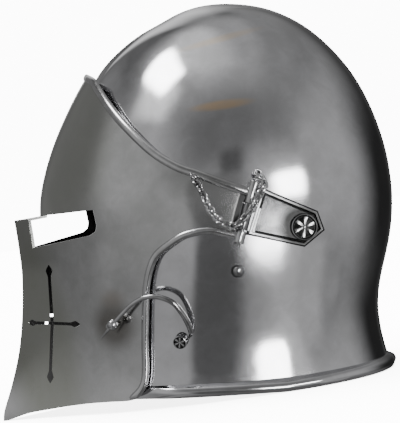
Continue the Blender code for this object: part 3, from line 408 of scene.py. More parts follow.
def smoothed(grid, passes, kept):
    """Evens each ring of points, all but the kept columns."""
    for _ in range(passes):
        soft = (np.roll(grid, 1, axis=1) + 2 * grid + np.roll(grid, -1, axis=1)) / 4
        soft[:, kept, :] = grid[:, kept, :]
        grid = soft
    return grid


# Bench tools


def deselect():
    if bpy.context.object and bpy.context.object.mode != "OBJECT":
        bpy.ops.object.mode_set(mode="OBJECT")
    bpy.ops.object.select_all(action="DESELECT")


def take(obj):
    deselect()
    obj.select_set(True)
    bpy.context.view_layer.objects.active = obj


def added(name):
    obj = bpy.context.object
    obj.name = name
    obj.data.name = name
    return obj


def settle(obj):
    """Puts an object's place, turn and size into its mesh."""
    take(obj)
    bpy.ops.object.transform_apply(location=True, rotation=True, scale=True)
    return obj


def put(obj, matrix):
    obj.matrix_world = matrix
    return settle(obj)


def apply(obj, kind, **settings):
    take(obj)
    step = obj.modifiers.new(kind.title(), kind)
    for name, value in settings.items():
        setattr(step, name, value)
    bpy.ops.object.modifier_apply(modifier=step.name)
    return obj


def carve(obj, operation, tool):
    """Joins, cuts or trims an object with a tool, which is used up."""
    apply(obj, "BOOLEAN", operation=operation, solver="EXACT", object=tool)
    bpy.data.objects.remove(tool, do_unlink=True)
    if not obj.data.polygons:
        raise RuntimeError("nothing is left of %s" % obj.name)
    return obj


def edit(obj, mode="VERT"):
    """Opens a mesh in edit mode with nothing selected."""
    take(obj)
    bpy.ops.object.mode_set(mode="EDIT")
    bpy.ops.mesh.select_mode(type=mode)
    bpy.ops.mesh.select_all(action="DESELECT")


def pick(obj, kind, test):
    """Selects the vertices, edges or faces of the object in edit mode that pass a test."""
    work = bmesh.from_edit_mesh(obj.data)
    for item in getattr(work, kind):
        item.select_set(bool(test(item)))
    bmesh.update_edit_mesh(obj.data)


def done(obj):
    bpy.ops.object.mode_set(mode="OBJECT")
    return obj


def outward(obj):
    """Merges doubles and turns the faces outwards."""
    edit(obj)
    bpy.ops.mesh.select_all(action="SELECT")
    bpy.ops.mesh.remove_doubles(threshold=1e-6)
    bpy.ops.mesh.normals_make_consistent(inside=False)
    return done(obj)


def joined(name, *objs):
    deselect()
    for obj in objs:
        obj.select_set(True)
    bpy.context.view_layer.objects.active = objs[0]
    if len(objs) > 1:
        bpy.ops.object.join()
    return added(name)


def twin(obj, name):
    """Mirrored copy on the wearer's right with its own mesh."""
    take(obj)
    bpy.ops.object.duplicate()
    copy = added(name)
    copy.data.transform(Matrix.Scale(-1.0, 4, (1.0, 0.0, 0.0)))
    copy.data.flip_normals()
    return copy


def prism(name, outline, x0, x1):
    """Cutter with an outline in the side view, pushed through along x."""
    n = len(outline)
    verts = [(x * MM, y * MM, z * MM) for x in (x0, x1) for y, z in outline]
    faces = [list(range(n))[::-1], list(range(n, 2 * n))]
    faces += [[k, (k + 1) % n, (k + 1) % n + n, k + n] for k in range(n)]
    mesh = bpy.data.meshes.new(name)
    mesh.from_pydata(verts, [], faces)
    obj = bpy.data.objects.new(name, mesh)
    bpy.context.scene.collection.objects.link(obj)
    return outward(obj)


def along(axis, origin):
    """Matrix that takes +Z to an axis, at an origin in millimetres."""
    turn = Vector(axis).to_track_quat("Z", "Y").to_matrix().to_4x4()
    return Matrix.Translation(Vector(origin) * MM) @ turn


def bar(name, points, radii, sides=12, outs=None, wide=1.0, tall=1.0):
    """Round bar along a smooth line, from a curve made solid; outs let it be made flatter."""
    deselect()
    bpy.ops.curve.primitive_nurbs_path_add()
    obj = bpy.context.object
    obj.matrix_world = Matrix.Identity(4)
    curve = obj.data
    curve.splines.clear()
    line = curve.splines.new("POLY")
    line.points.add(len(points) - 1)
    for point, place, radius in zip(line.points, points, radii):
        point.co = (place[0] * MM, place[1] * MM, place[2] * MM, 1.0)
        point.radius = radius
    curve.dimensions = "3D"
    curve.bevel_depth = MM
    curve.bevel_resolution = max(1, sides // 4 - 1)
    curve.use_fill_caps = True
    bpy.ops.object.convert(target="MESH")
    obj = added(name)
    if outs is not None:
        path = np.asarray(points, float)
        for v in obj.data.vertices:
            k = int(np.argmin(np.sum((path - np.array(v.co) / MM) ** 2, axis=1)))
            ahead = Vector(path[min(k + 1, len(path) - 1)] - path[max(k - 1, 0)]).normalized()
            out = outs[k] - ahead * outs[k].dot(ahead)
            out.normalize()
            off = v.co / MM - Vector(path[k])
            run, rise = ahead * off.dot(ahead), out * off.dot(out)
            v.co = (Vector(path[k]) + run + (off - run - rise) * wide + rise * tall) * MM
    return outward(obj)


def rod(name, start, end, radius, sides=32, bevel=0.25):
    """Straight bar with softened ends between two points in millimetres."""
    a, b = Vector(start), Vector(end)
    deselect()
    bpy.ops.mesh.primitive_cylinder_add(
        vertices=sides, radius=radius * MM, depth=(b - a).length * MM)
    obj = put(added(name), along(b - a, (a + b) / 2))
    if bevel:
        apply(obj, "BEVEL", width=bevel * MM, segments=2, limit_method="ANGLE", angle_limit=0.9)
    return obj


def turned(name, profile, axis, origin, sides=48):
    """Turned piece: profile rows are radius and height in millimetres, tip to foot."""
    deselect()
    bpy.ops.mesh.primitive_circle_add(
        vertices=sides, radius=profile[0][0] * MM, fill_type="TRIFAN")
    obj = added(name)
    edit(obj, "EDGE")
    bpy.ops.mesh.select_all(action="SELECT")
    bpy.ops.transform.translate(value=(0.0, 0.0, profile[0][1] * MM))
    pick(obj, "faces", lambda face: False)
    pick(obj, "edges", lambda edge: edge.is_boundary)
    radius, height = profile[0]
    for r, h in profile[1:]:
        bpy.ops.mesh.extrude_edges_move(
            TRANSFORM_OT_translate={"value": (0.0, 0.0, (h - height) * MM)})
        grow = r / radius
        bpy.ops.transform.resize(value=(grow, grow, 1.0), center_override=(0.0, 0.0, h * MM))
        radius, height = r, h
    bpy.ops.mesh.edge_face_add()
    return put(outward(done(obj)), along(axis, origin))


def pin_bore(side=1.0):
    """Cutter for the hinge pin's bore."""
    ends = [(side * HINGE_X, *hinge_at(share)) for share in (-0.2, 1.2)]
    return rod("bore", *ends, PIN + BORE_ROOM, 24, 0.0)


def coated(obj, *names):
    obj.data.materials.clear()
    for name in names:
        obj.data.materials.append(steels()[name])
    return obj


def finished(obj, body, node, coats=(), angle=35.0):
    """Gives a piece its finish, its shading and its place on the frame."""
    if not obj.data.polygons:
        raise RuntimeError("%s has no faces" % obj.name)
    if coats:
        coated(obj, *coats)
    take(obj)
    bpy.ops.object.shade_smooth_by_angle(angle=math.radians(angle))
    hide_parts(node)
    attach(obj, body)


def pair(left, body, node, coats=(), angle=35.0):
    """Finishes a piece on the wearer's left and its twin on the right."""
    right = twin(left, left.name[:-1] + "r")
    finished(left, body, node + "_left", coats, angle)
    finished(right, body, node + "_right", coats, angle)


# Finishes


class Wire:
    """A node socket that takes part in Python arithmetic."""

    def __init__(self, paint, socket):
        self.paint = paint
        self.socket = socket

    def maths(self, operation, first, second):
        node = self.paint.node("ShaderNodeMath", {"operation": operation}, {0: first, 1: second})
        return Wire(self.paint, node.outputs[0])

    def __add__(self, other):
        return self.maths("ADD", self, other)

    def __radd__(self, other):
        return self.maths("ADD", other, self)

    def __sub__(self, other):
        return self.maths("SUBTRACT", self, other)

    def __rsub__(self, other):
        return self.maths("SUBTRACT", other, self)

    def __mul__(self, other):
        return self.maths("MULTIPLY", self, other)

    def __pow__(self, other):
        return self.maths("POWER", self, other)

    def least(self, other):
        return self.maths("MINIMUM", self, other)

    def most(self, other):
        return self.maths("MAXIMUM", self, other)

    def size(self):
        return self.maths("ABSOLUTE", self, 0.0)


class Paint:
    """Builds one node tree."""

    def __init__(self, owner):
        owner.use_nodes = True
        self.tree = owner.node_tree
        self.tree.nodes.clear()

    def node(self, kind, settings, sockets):
        node = self.tree.nodes.new(kind)
        for name, value in settings.items():
            setattr(node, name, value)
        for name, value in sockets.items():
            if isinstance(value, Wire):
                self.tree.links.new(value.socket, node.inputs[name])
            else:
                node.inputs[name].default_value = value
        return node

    def wire(self, kind, settings, sockets, output=0):
        return Wire(self, self.node(kind, settings, sockets).outputs[output])

    def here(self):
        return self.wire("ShaderNodeTexCoord", {}, {}, "Object")

    def place(self, scale=(1.0, 1.0, 1.0), turn=(0.0, 0.0, 0.0)):
        return self.wire("ShaderNodeMapping", {}, {
            "Vector": self.here(), "Scale": scale, "Rotation": turn})

    def noise(self, vector, scale, detail=3.0, rough=0.5, warp=0.0):
        return self.wire("ShaderNodeTexNoise", {}, {
            "Vector": vector, "Scale": scale, "Detail": detail, "Roughness": rough,
            "Distortion": warp})

    def ramp(self, value, low, high):
        """Runs smoothly from 0 at low to 1 at high."""
        return self.wire("ShaderNodeMapRange", {"interpolation_type": "SMOOTHSTEP"}, {
            "Value": value, "From Min": low, "From Max": high})

    def blend(self, mask, a, b):
        return self.wire("ShaderNodeMix", {"data_type": "RGBA"}, {
            0: mask, 6: (*a, 1.0) if isinstance(a, tuple) else a,
            7: (*b, 1.0) if isinstance(b, tuple) else b}, 2)

    def near(self, centre, reach, soft, stretch, lean):
        """Mask that is 1 round a point in millimetres and falls to 0; stretch 0 runs through."""
        away = self.wire("ShaderNodeMapping", {"vector_type": "TEXTURE"}, {
            "Vector": self.here(), "Location": tuple(c * MM for c in centre),
            "Rotation": (math.radians(lean), 0.0, 0.0),
            "Scale": tuple(1.0 / k if k else 1e4 for k in stretch)})
        far = self.wire("ShaderNodeVectorMath", {"operation": "LENGTH"}, {0: away}, "Value")
        return self.ramp(far, reach * (1.0 + soft) * MM, reach * (1.0 - soft) * MM)


def stain_and_light_patch(place, reach, soft, shade, share, dull=0.0, wide=1.0, tall=1.0, lean=0.0):
    """Patch of real stain, painted light or painted shade round y, z on both sides or x, y, z on
    one: millimetres, softness, colour, strength.
    """
    through = len(place) == 2
    centre = (0.0, *place) if through else place
    return centre, reach, soft, (0.0 if through else 1.0, wide, tall), lean, shade, share, dull


def steel(name, bright, dark, rough, grain, wave, mottle, stains_and_light=(), groove_shade=None):
    """Polished steel: tone and gloss that vary, fine brushing and a faint hammered wave; patches of
    stain and of painted light and shade, and painted shade below a given depth.
    """
    if name in bpy.data.materials:
        raise RuntimeError("a finish called %s is there already" % name)
    material = bpy.data.materials.new(name)
    paint = Paint(material)
    here = paint.place()
    broad = paint.noise(here, 22.0, 3.0, 0.55)
    cloud = paint.noise(here, 75.0, 4.0, 0.6, 0.4)
    streaks = paint.noise(paint.place((18.0, 18.0, 950.0)), 1.0, 3.0, 0.6)
    scratch = paint.noise(paint.place((40.0, 25.0, 2600.0), (0.25, 0.1, 0.0)), 1.0, 2.0, 0.5)
    tone = paint.ramp(broad * 0.55 + cloud * 0.45, 0.36, 0.66)
    colour = paint.blend(tone, dark, bright)
    gloss = rough + (cloud - 0.5) * rough * mottle + (streaks - 0.5) * rough * 0.5
    for centre, reach, soft, stretch, lean, shade, share, dull in stains_and_light:
        spot = paint.near(centre, reach, soft, stretch, lean) * (0.6 + cloud * 0.8)
        spot = (spot * share).least(1.0)
        colour = paint.blend(spot, colour, shade)
        gloss = gloss + spot * dull
    # Near-black on all that lies below the panel's face: painted shade in the plate's groove, on
    # its edges and on its inner face
    if groove_shade:
        across = paint.wire("ShaderNodeSeparateXYZ", {}, {0: paint.here()})
        low = paint.ramp(across.size(), groove_shade[1] * MM, groove_shade[0] * MM)
        colour = paint.blend(low * 0.95, colour, (0.02, 0.02, 0.02))
        gloss = gloss + low * 0.12
    height = streaks * (0.012 * grain) + scratch * (0.006 * grain) + broad * wave
    bump = paint.wire("ShaderNodeBump", {}, {"Strength": 1.0, "Distance": MM, "Height": height})
    shader = paint.wire("ShaderNodeBsdfPrincipled", {}, {
        "Base Color": colour, "Metallic": 1.0, "Roughness": gloss.most(0.03), "Normal": bump})
    paint.node("ShaderNodeOutputMaterial", {}, {"Surface": shader})


def grey(level, cool=0.0):
    return level, level, level + cool


def steels():
    """All the finishes, made once: bright, dark, roughness, grain, wave, mottling, stains and
    painted light and shade.
    """
    if "bowl_polish" in bpy.data.materials:
        return bpy.data.materials
    colours = bpy.context.scene.barbuta_colours
    bright, recess = tuple(colours.bright_steel), tuple(colours.recess_shade_tone)
    brown, olive = tuple(colours.heat_tint), tuple(colours.oil_tint)
    ball_y, ball_z = HOOK_BALL[0] * LONG, HOOK_BALL[1] * HIGH
    ball_x = visor_half(ball_y, ball_z)
    by, bz = PIVOT
    # Near-black for painted shadows: rings round the strap rivets and the pivot rosettes, and a
    # line along the hinge
    rivet_shadow_black, hinge_shadow_black = (0.03, 0.03, 0.03), (0.04, 0.04, 0.04)
    steel("bowl_polish", bright, grey(0.60, 0.01), 0.095, 0.35, 0.10, 0.6, (
        # Two thin warm streaks: painted reflection of a yellowish lamp
        stain_and_light_patch((27.0, 200.0), 3.0, 0.5, (0.86, 0.66, 0.46), 0.9, wide=0.17),
        stain_and_light_patch((35.0, 246.0), 2.2, 0.6, (0.80, 0.66, 0.50), 0.5, wide=0.09, lean=8.0),
        # Near-black ring round the strap rivet's head: painted shadow
        stain_and_light_patch(STRAP_RIVET, 4.6, 0.2, rivet_shadow_black, 1.3, 0.15),
        # Rougher patch below the plate, a little darker too: duller polish, with painted shade that
        # dims the reflected light there
        stain_and_light_patch((43.0, 100.0), 18.0, 0.6, grey(0.50, 0.02), 0.6, 0.12, tall=0.9)))
    steel("visor_polish", (0.61, 0.61, 0.615), (0.49, 0.495, 0.49), 0.13, 0.35, 0.10, 0.6, (
        stain_and_light_patch((-122.0, 70.0), 26.0, 0.35, olive, 0.8, 0.02, tall=0.30, lean=8.0),
        stain_and_light_patch((-78.0, 190.0), 24.0, 0.5, olive, 0.6, 0.02, tall=0.35, lean=-20.0),
        stain_and_light_patch((ball_x, ball_y + 2.0, ball_z - 1.0), 15.0, 0.45, (0.19, 0.18, 0.165), 0.8, 0.06),
        stain_and_light_patch((ball_x, ball_y + 5.0, ball_z + 17.0), 9.0, 0.7, brown, 0.35, 0.04, tall=1.6),
        # Thin near-black line on the visor just forward of the hinge: painted shadow of the gap
        # before the barrel
        stain_and_light_patch(hinge_at(0.47, 5.6), 2.4, 0.5, hinge_shadow_black, 1.3, 0.25, tall=0.10, lean=-23.3)))
    steel("inner_steel", grey(0.30), grey(0.16), 0.42, 0.6, 0.10, 0.6)
    steel("roll_steel", grey(0.66, 0.01), grey(0.46), 0.17, 0.3, 0.05, 0.6)
    steel("plate_patina", (0.26, 0.262, 0.268), grey(0.055), 0.20, 0.6, 0.20, 1.4, (
        stain_and_light_patch((by - 32.0, bz + 11.0), 13.0, 0.6, grey(0.42, 0.01), 0.8, tall=0.8, lean=-20.0),
        stain_and_light_patch((by - 31.0, bz - 4.0), 7.0, 0.7, grey(0.34, 0.01), 0.7),
        # Darker ring round the rosette on the plate: painted shadow
        stain_and_light_patch((by - 1.0, bz), 15.0, 0.4, rivet_shadow_black, 1.1, 0.12),
    # groove_shade: painted shade in the groove and on the plate's edges
    ), groove_shade=(PLATE_OUTER - 0.62, PLATE_OUTER - 0.15))
    steel("cut_rivet", grey(0.62, 0.01), grey(0.34), 0.20, 0.5, 0.05, 0.8)
    # Near-black for the rosettes' beds and outer slopes: painted shade
    steel("rivet_recess", recess, grey(0.02), 0.38, 0.5, 0.05, 0.8)
    steel("link_steel", grey(0.76, 0.01), grey(0.30), 0.13, 0.2, 0.02, 0.7)
    steel("hook_polish", grey(0.58, 0.01), grey(0.28), 0.12, 0.3, 0.04, 0.7)
    steel("pin_polish", grey(0.52, 0.01), grey(0.22), 0.13, 0.3, 0.03, 0.7)
    return bpy.data.materials


# Settings


class BarbutaSizes(bpy.types.PropertyGroup):
    """Sizes of the dressed pieces"""

    sheet: FloatProperty(name="Sheet", description="Wall of the bowl and visor",
                         default=SHEET * MM, min=0.0008, max=0.003, unit="LENGTH")
    roll: FloatProperty(name="Rolled edge", description="Radius of the visor's rolled edge",
                        default=2.35 * MM, min=0.001, max=0.004, unit="LENGTH")
    link_wire: FloatProperty(name="Link wire", description="Radius of the chain's wire",
                             default=0.88 * MM, min=0.0003, max=0.001, unit="LENGTH")
    links: IntProperty(name="Links", description="Links of each chain", default=24, min=8, max=40)
    rosette: FloatProperty(name="Rosette", description="Radius of the pivot rosette",
                           default=9.3 * MM, min=0.005, max=0.012, unit="LENGTH")


class BarbutaColours(bpy.types.PropertyGroup):
    """Colours of the finishes and of the floor"""

    bright_steel: FloatVectorProperty(name="Bright steel", description="Polished face",
                                      subtype="COLOR", size=3, default=(0.71, 0.71, 0.73))
    # Painted shade in the rosettes' sunk beds and on their outer slopes
    recess_shade_tone: FloatVectorProperty(name="Dark steel", description="Cut recesses",
                                    subtype="COLOR", size=3, default=(0.055, 0.055, 0.055))
    heat_tint: FloatVectorProperty(name="Heat tint", description="Brown bloom by the latch",
                                   subtype="COLOR", size=3, default=(0.30, 0.23, 0.17))
    oil_tint: FloatVectorProperty(name="Oil tint", description="Olive cast on the beak",
                                  subtype="COLOR", size=3, default=(0.40, 0.41, 0.365))
    floor: FloatVectorProperty(name="Floor", description="Pale floor", subtype="COLOR",
                               size=3, default=(0.86, 0.86, 0.86))


# Pieces


class BARBUTA_OT_bowl(bpy.types.Operator):
    """Raise the keeled bowl with its rolled rim"""

    bl_idname = "barbuta.bowl"
    bl_label = "Bowl"

    def execute(self, context):
        sheet = context.scene.barbuta_sizes.sheet / MM
        wall, top = self.wall()
        rows = len(wall)
        outer, inner, normals = self.faces(wall, top, sheet)
        rim = self.rim(outer[-1], normals[-1], wall[-1], sheet)
        kept = inner[::2][::-1] if rows % 2 else inner[1::2][::-1]
        grid = np.concatenate([outer, rim, kept])
        rings, columns = grid.shape[0], grid.shape[1]
        deselect()
        bpy.ops.mesh.primitive_uv_sphere_add(segments=columns, ring_count=rings + 1, radius=1.0)
        bowl = added("bowl")
        for v in bowl.data.vertices:
            polar = math.acos(max(-1.0, min(1.0, v.co.z)))
            k = round(polar / math.pi * (rings + 1)) - 1
            if k < 0:
                place = top
            elif k >= rings:
                place = top - np.array([0.0, 0.0, KEEL_HIGH + sheet])
            else:
                j = round((math.atan2(v.co.y, v.co.x) + math.pi / 2) / (2 * math.pi) * columns)
                place = grid[k, j % columns]
            v.co = Vector(place) * MM
        bowl.data.update()
        opening = side_view(FACE_EDGE[:2]) + [tuple(p) for p in spline(
            side_view(FACE_EDGE[2:9]), 5)] + side_view(FACE_EDGE[9:])
        carve(bowl, "DIFFERENCE", prism("opening", opening, -SIDE_REACH, SIDE_REACH))
        finished(bowl, "helmet", "skull", ["bowl_polish", "inner_steel"], 40.0)
        self.dull_inside(bowl)
        return {"FINISHED"}

    def wall(self):
        """Ridge surface as rings of points from the crown down."""
        zs = HIGH - DEPTH ** 2
        half = COLUMNS["half_width"]
        run = np.concatenate([[0.0], np.cumsum(np.hypot(np.diff(zs), np.diff(half)))])
        foot = np.interp(-0.0346 * HIGH, -zs, run)
        levels = np.interp(np.linspace(foot / RINGS, foot, RINGS), run, zs)
        share = np.linspace(0.0, 1.0, QUARTER + 1)
        rings = []
        for z in levels:
            s = section(z)
            t = np.radians(90.0 * share ** 1.2)
            fx = s["half_width"] * np.sin(t) ** (2.0 / s["point"])
            ahead = np.maximum(0, np.cos(t)) ** (2.0 / s["side"])
            fy = s["middle"] - (s["middle"] - s["bowl_front"]) * ahead
            t = np.radians(90.0 * share[::-1] ** 1.4)
            bx = s["half_width"] * np.sin(t)
            behind = np.maximum(0, np.cos(t)) ** (2.0 / BACK_POWER)
            by = s["middle"] + (s["back"] - s["middle"]) * behind
            x = np.concatenate([fx, bx[1:]])
            y = np.concatenate([fy, by[1:]])
            x = np.concatenate([x, -x[-2:0:-1]])
            y = np.concatenate([y, y[-2:0:-1]])
            low = max(0.0, 1.0 - max(z, 0.0) / LIFT_FADE)
            lift = np.maximum(0.0, LIFT_FROM - y) * SIDE_LIFT * low
            rings.append(np.stack([x, y, z + lift], axis=1))
        grid = smoothed(np.array(rings), 6, [0, 2 * QUARTER])
        return grid, np.array([0.0, SECTION_SHARES[0][1] * LONG, HIGH])

    def faces(self, wall, top, sheet):
        """Outer and inner face: the ridge surface moved in, all but the keel."""
        sides = np.roll(wall, -1, axis=1) - np.roll(wall, 1, axis=1)
        above = np.concatenate([np.broadcast_to(top, (1,) + wall.shape[1:]), wall[:-1]])
        below = np.concatenate([wall[1:], 2 * wall[-1:] - wall[-2:-1]])
        normals = np.cross(sides, above - below)
        normals /= np.linalg.norm(normals, axis=2, keepdims=True)
        tent = np.maximum(0.0, 1.0 - np.abs(wall[:, :, :1]) / KEEL_WIDE) ** 1.5
        outer = wall - normals * KEEL_HIGH * (1.0 - tent)
        inner = wall - normals * (KEEL_HIGH + sheet)
        half = wall.shape[1] // 2
        inner[:, 1:half, 0] = np.maximum(inner[:, 1:half, 0], 0.0)
        inner[:, half + 1:, 0] = np.minimum(inner[:, half + 1:, 0], 0.0)
        return outer, inner, normals

    def rim(self, last, normals, ridge, sheet):
        """Rolled rim from the foot of the wall round to its inner face."""
        roll = [(0.0, 1.1), (0.31, 1.0), (0.78, 0.81), (1.0, 0.465), (0.86, 0.163), (0.55, 0.0)]
        roll = [(out * RIM_OUT, z * RIM_HIGH) for out, z in roll]
        roll += [(-0.56 * sheet, 0.0), (-sheet, sheet)]
        roll = spline(roll, 4)[3:]
        flat = normals * np.array([1.0, 1.0, 0.0])
        flat /= np.linalg.norm(flat, axis=1, keepdims=True)
        lift = np.maximum(0.0, LIFT_FROM - ridge[:, 1]) * SIDE_LIFT
        rows = []
        for out, z in roll:
            grow = np.clip((ridge[:, 1] + 50.0) / 14.0, 0.10, 1.0) if out > 0 else 1.0
            row = last + flat * np.reshape(out * grow, (-1, 1) if np.ndim(grow) else ())
            row[:, 2] = max(z, 0.0) + lift
            rows.append(row)
        return np.array(rows)

    def dull_inside(self, bowl):
        for face in bowl.data.polygons:
            c = face.center / MM
            inward = Vector((c.x, c.y - 40.0, max(0.0, c.z - 150.0)))
            if face.normal.dot(inward) < 0 and c.z > 1.0:
                face.material_index = 1


class BARBUTA_OT_visor(bpy.types.Operator):
    """Shape the visor with its sights, breaths, rolled edges and knuckles"""

    bl_idname = "barbuta.visor"
    bl_label = "Visor"

    def execute(self, context):
        sizes = context.scene.barbuta_sizes
        visor = self.sheet(sizes.sheet / MM)
        carve(visor, "INTERSECT", prism("visor_shape", self.outline(), -SIDE_REACH, SIDE_REACH))
        for tool in self.cutters():
            carve(visor, "DIFFERENCE", tool)
        coats = ["visor_polish", "inner_steel", "roll_steel"]
        for face in coated(visor, *coats).data.polygons:
            c = face.center / MM
            if face.normal.dot(Vector((c.x, c.y - 60.0, 0.0))) < 0:
                face.material_index = 1
        rolls = self.rolls(sizes.roll / MM) + self.knuckles()
        for obj in rolls:
            for face in coated(obj, *coats).data.polygons:
                face.material_index = 2
        visor = joined("visor_plate", visor, *rolls)
        finished(visor, "visor_group", "visor", angle=40.0)
        return {"FINISHED"}

    def sheet(self, thick):
        low = np.linspace(-0.0292 * HIGH, SHELF_TOP, 58)
        high = np.linspace(BROW_FOOT, 0.8972 * HIGH, 44)
        steps = list(np.linspace(0.0, 1.0, 30)) + list(np.linspace(SPLIT, 90.0, 52)[1:])
        rows = []
        for z in np.concatenate([low, high]):
            s = section(z)
            left = [(*visor_point(z, step, s), z) for step in steps]
            rows.append([(-x, y, h) for x, y, h in reversed(left[1:])] + left)
        grid = smoothed(np.array(rows), 3, [0, len(steps) - 1, -1])
        count, columns = grid.shape[:2]
        deselect()
        bpy.ops.mesh.primitive_grid_add(
            x_subdivisions=columns - 1, y_subdivisions=count - 1, size=2.0)
        visor = added("visor_plate")
        for v in visor.data.vertices:
            j = round((v.co.x + 1.0) / 2.0 * (columns - 1))
            k = round((v.co.y + 1.0) / 2.0 * (count - 1))
            v.co = Vector(grid[k, j]) * MM
        visor.data.update()
        face = visor.data.polygons[len(visor.data.polygons) // 4]
        if face.normal.dot(Vector((face.center.x, face.center.y - 0.06, 0.0))) < 0:
            visor.data.flip_normals()
        number = len(visor.data.vertices)
        apply(visor, "SOLIDIFY", thickness=thick * MM, offset=-1.0, use_even_offset=True)
        self.clear_ridge(visor, number)
        return outward(visor)

    def clear_ridge(self, visor, number):
        """Draws the inner face's vertices that cross the middle plane back to its ridge."""
        verts = visor.data.vertices
        ridge = {}
        for k in range(number):
            if abs(verts[k].co.x) < 1e-6:
                ridge[round(verts[k].co.z, 6)] = verts[k + number].co.copy()
        for k in range(number):
            side, inner = verts[k].co.x, verts[k + number].co
            if abs(side) > 1e-6 and inner.x * side <= 0.0:
                back = ridge.get(round(verts[k].co.z, 6))
                verts[k + number].co = back if back else Vector((0.0, inner.y, inner.z))

    def outline(self):
        low, high = KNUCKLES
        line = [(-62.5, 247.0)] + [tuple(p) for p in spline(side_view(UPPER_EDGE), 5)]
        line += [hinge_at(low - 0.012), hinge_at(low - 0.012, 4.3), hinge_at(high + 0.012, 4.3),
                 hinge_at(high + 0.012)]
        line += [tuple(p) for p in spline(side_view(LOWER_EDGE + FOOT_EDGE), 5)]
        return line + [(-190.0, 0.0), (-190.0, 247.0)]

    def cutters(self):
        sight = side_view(SIGHT)
        my, mz = CROSS_MIDDLE[0] * LONG, CROSS_MIDDLE[1] * HIGH
        heads = []
        for y, z, leaf in CROSS_ARMS:
            dy, dz = y * LONG - my, z * HIGH - mz
            reach = math.hypot(dy, dz)
            heads.append((dy / reach, dz / reach, reach, leaf * CROSS_LEAF))
        cross = []
        slot, leaf = CROSS_CUT * CROSS_SLOT, CROSS_LEAF
        for k, (dy, dz, reach, long) in enumerate(heads):
            for run, side in ((reach - long * 1.9, slot), (reach - long * 1.25, leaf * 0.85),
                              (reach - long, leaf), (reach - long * 0.6, leaf * 0.7), (reach, 0.0),
                              (reach - long * 0.6, -leaf * 0.7), (reach - long, -leaf),
                              (reach - long * 1.25, -leaf * 0.85), (reach - long * 1.9, -slot)):
                cross.append((my + dy * run - dz * side, mz + dz * run + dy * side))
            ny, nz = heads[(k + 1) % 4][:2]
            cross.append((my + (dy + ny) * slot, mz + (dz + nz) * slot))
        tools = []
        for x0, x1 in ((NASAL_HALF, SIDE_REACH), (-SIDE_REACH, -NASAL_HALF)):
            tools.append(prism("sight", sight, x0, x1))
        for x0, x1, (ahead, up) in ((BREATH_START, SIDE_REACH, (0.0, 0.0)),
                                    (-SIDE_REACH, -BREATH_START, FAR_BREATH)):
            tools.append(prism("breath", [(y - ahead, z + up) for y, z in cross], x0, x1))
        bore = pin_bore()
        return tools + [twin(bore, "bore_right"), bore]

    def rolls(self, radius):
        upper = self.edge_line(UPPER_EDGE[1:-1], 0.19, 1.2)
        crest = (0.0, UPPER_EDGE[0][0] * LONG - 1.0, UPPER_EDGE[0][1] * HIGH - 2.2)
        upper = spline([crest] + upper[::2] + upper[-1:], 3).tolist()
        upper = [(-x, y, z) for x, y, z in upper[:0:-1]] + upper
        outs = [self.face_out(*place) for place in upper]
        bars = [bar("upper_roll", upper, [radius] * len(upper), 24, outs, 1.30, 0.80)]
        lower = self.edge_line(LOWER_EDGE[1:], 0.90, 1.4, True)
        lower = spline(lower[::2] + lower[-1:], 3).tolist()
        outs = [self.face_out(*place) for place in lower]
        radii = [radius * min(1.0, 0.35 + 0.1 * (len(lower) - k)) for k in range(len(lower))]
        left = bar("lower_roll", lower, radii, 24, outs, 1.12, 0.85)
        return bars + [left, twin(left, "lower_roll_right")]

    def edge_line(self, edge, share, short, hinge_first=False):
        edge = spline(side_view(edge), 4)
        line = []
        for k, (y, z) in enumerate(edge):
            step = edge[min(k + 1, len(edge) - 1)] - edge[max(k - 1, 0)]
            step /= np.hypot(*step)
            iy, iz = y + step[1] * 1.5, z - step[0] * 1.5
            line.append((visor_half(iy, iz) + 0.35, iy, iz))
        end = (HINGE_X - short, *hinge_at(share))
        return [end] + line if hinge_first else line + [end]

    def face_out(self, x, y, z):
        n = face_normal(visor_half, y, z) if abs(x) > 6.0 else Vector((0.0, -1.0, 0.35))
        return Vector((math.copysign(n.x, x) if x else 0.0, n.y, n.z)).normalized()

    def knuckles(self):
        low, high = KNUCKLES
        made = []
        for start, end in ((0.0, low - 0.010), (high + 0.010, 1.0)):
            ends = [(HINGE_X, *hinge_at(share)) for share in (start, end)]
            piece = rod("knuckle", *ends, BARREL, 40, 0.35)
            made += [piece, twin(piece, "knuckle_right")]
        for obj in made:
            side = 1.0 if obj.data.vertices[0].co.x > 0 else -1.0
            carve(obj, "DIFFERENCE", pin_bore(side))
        return made


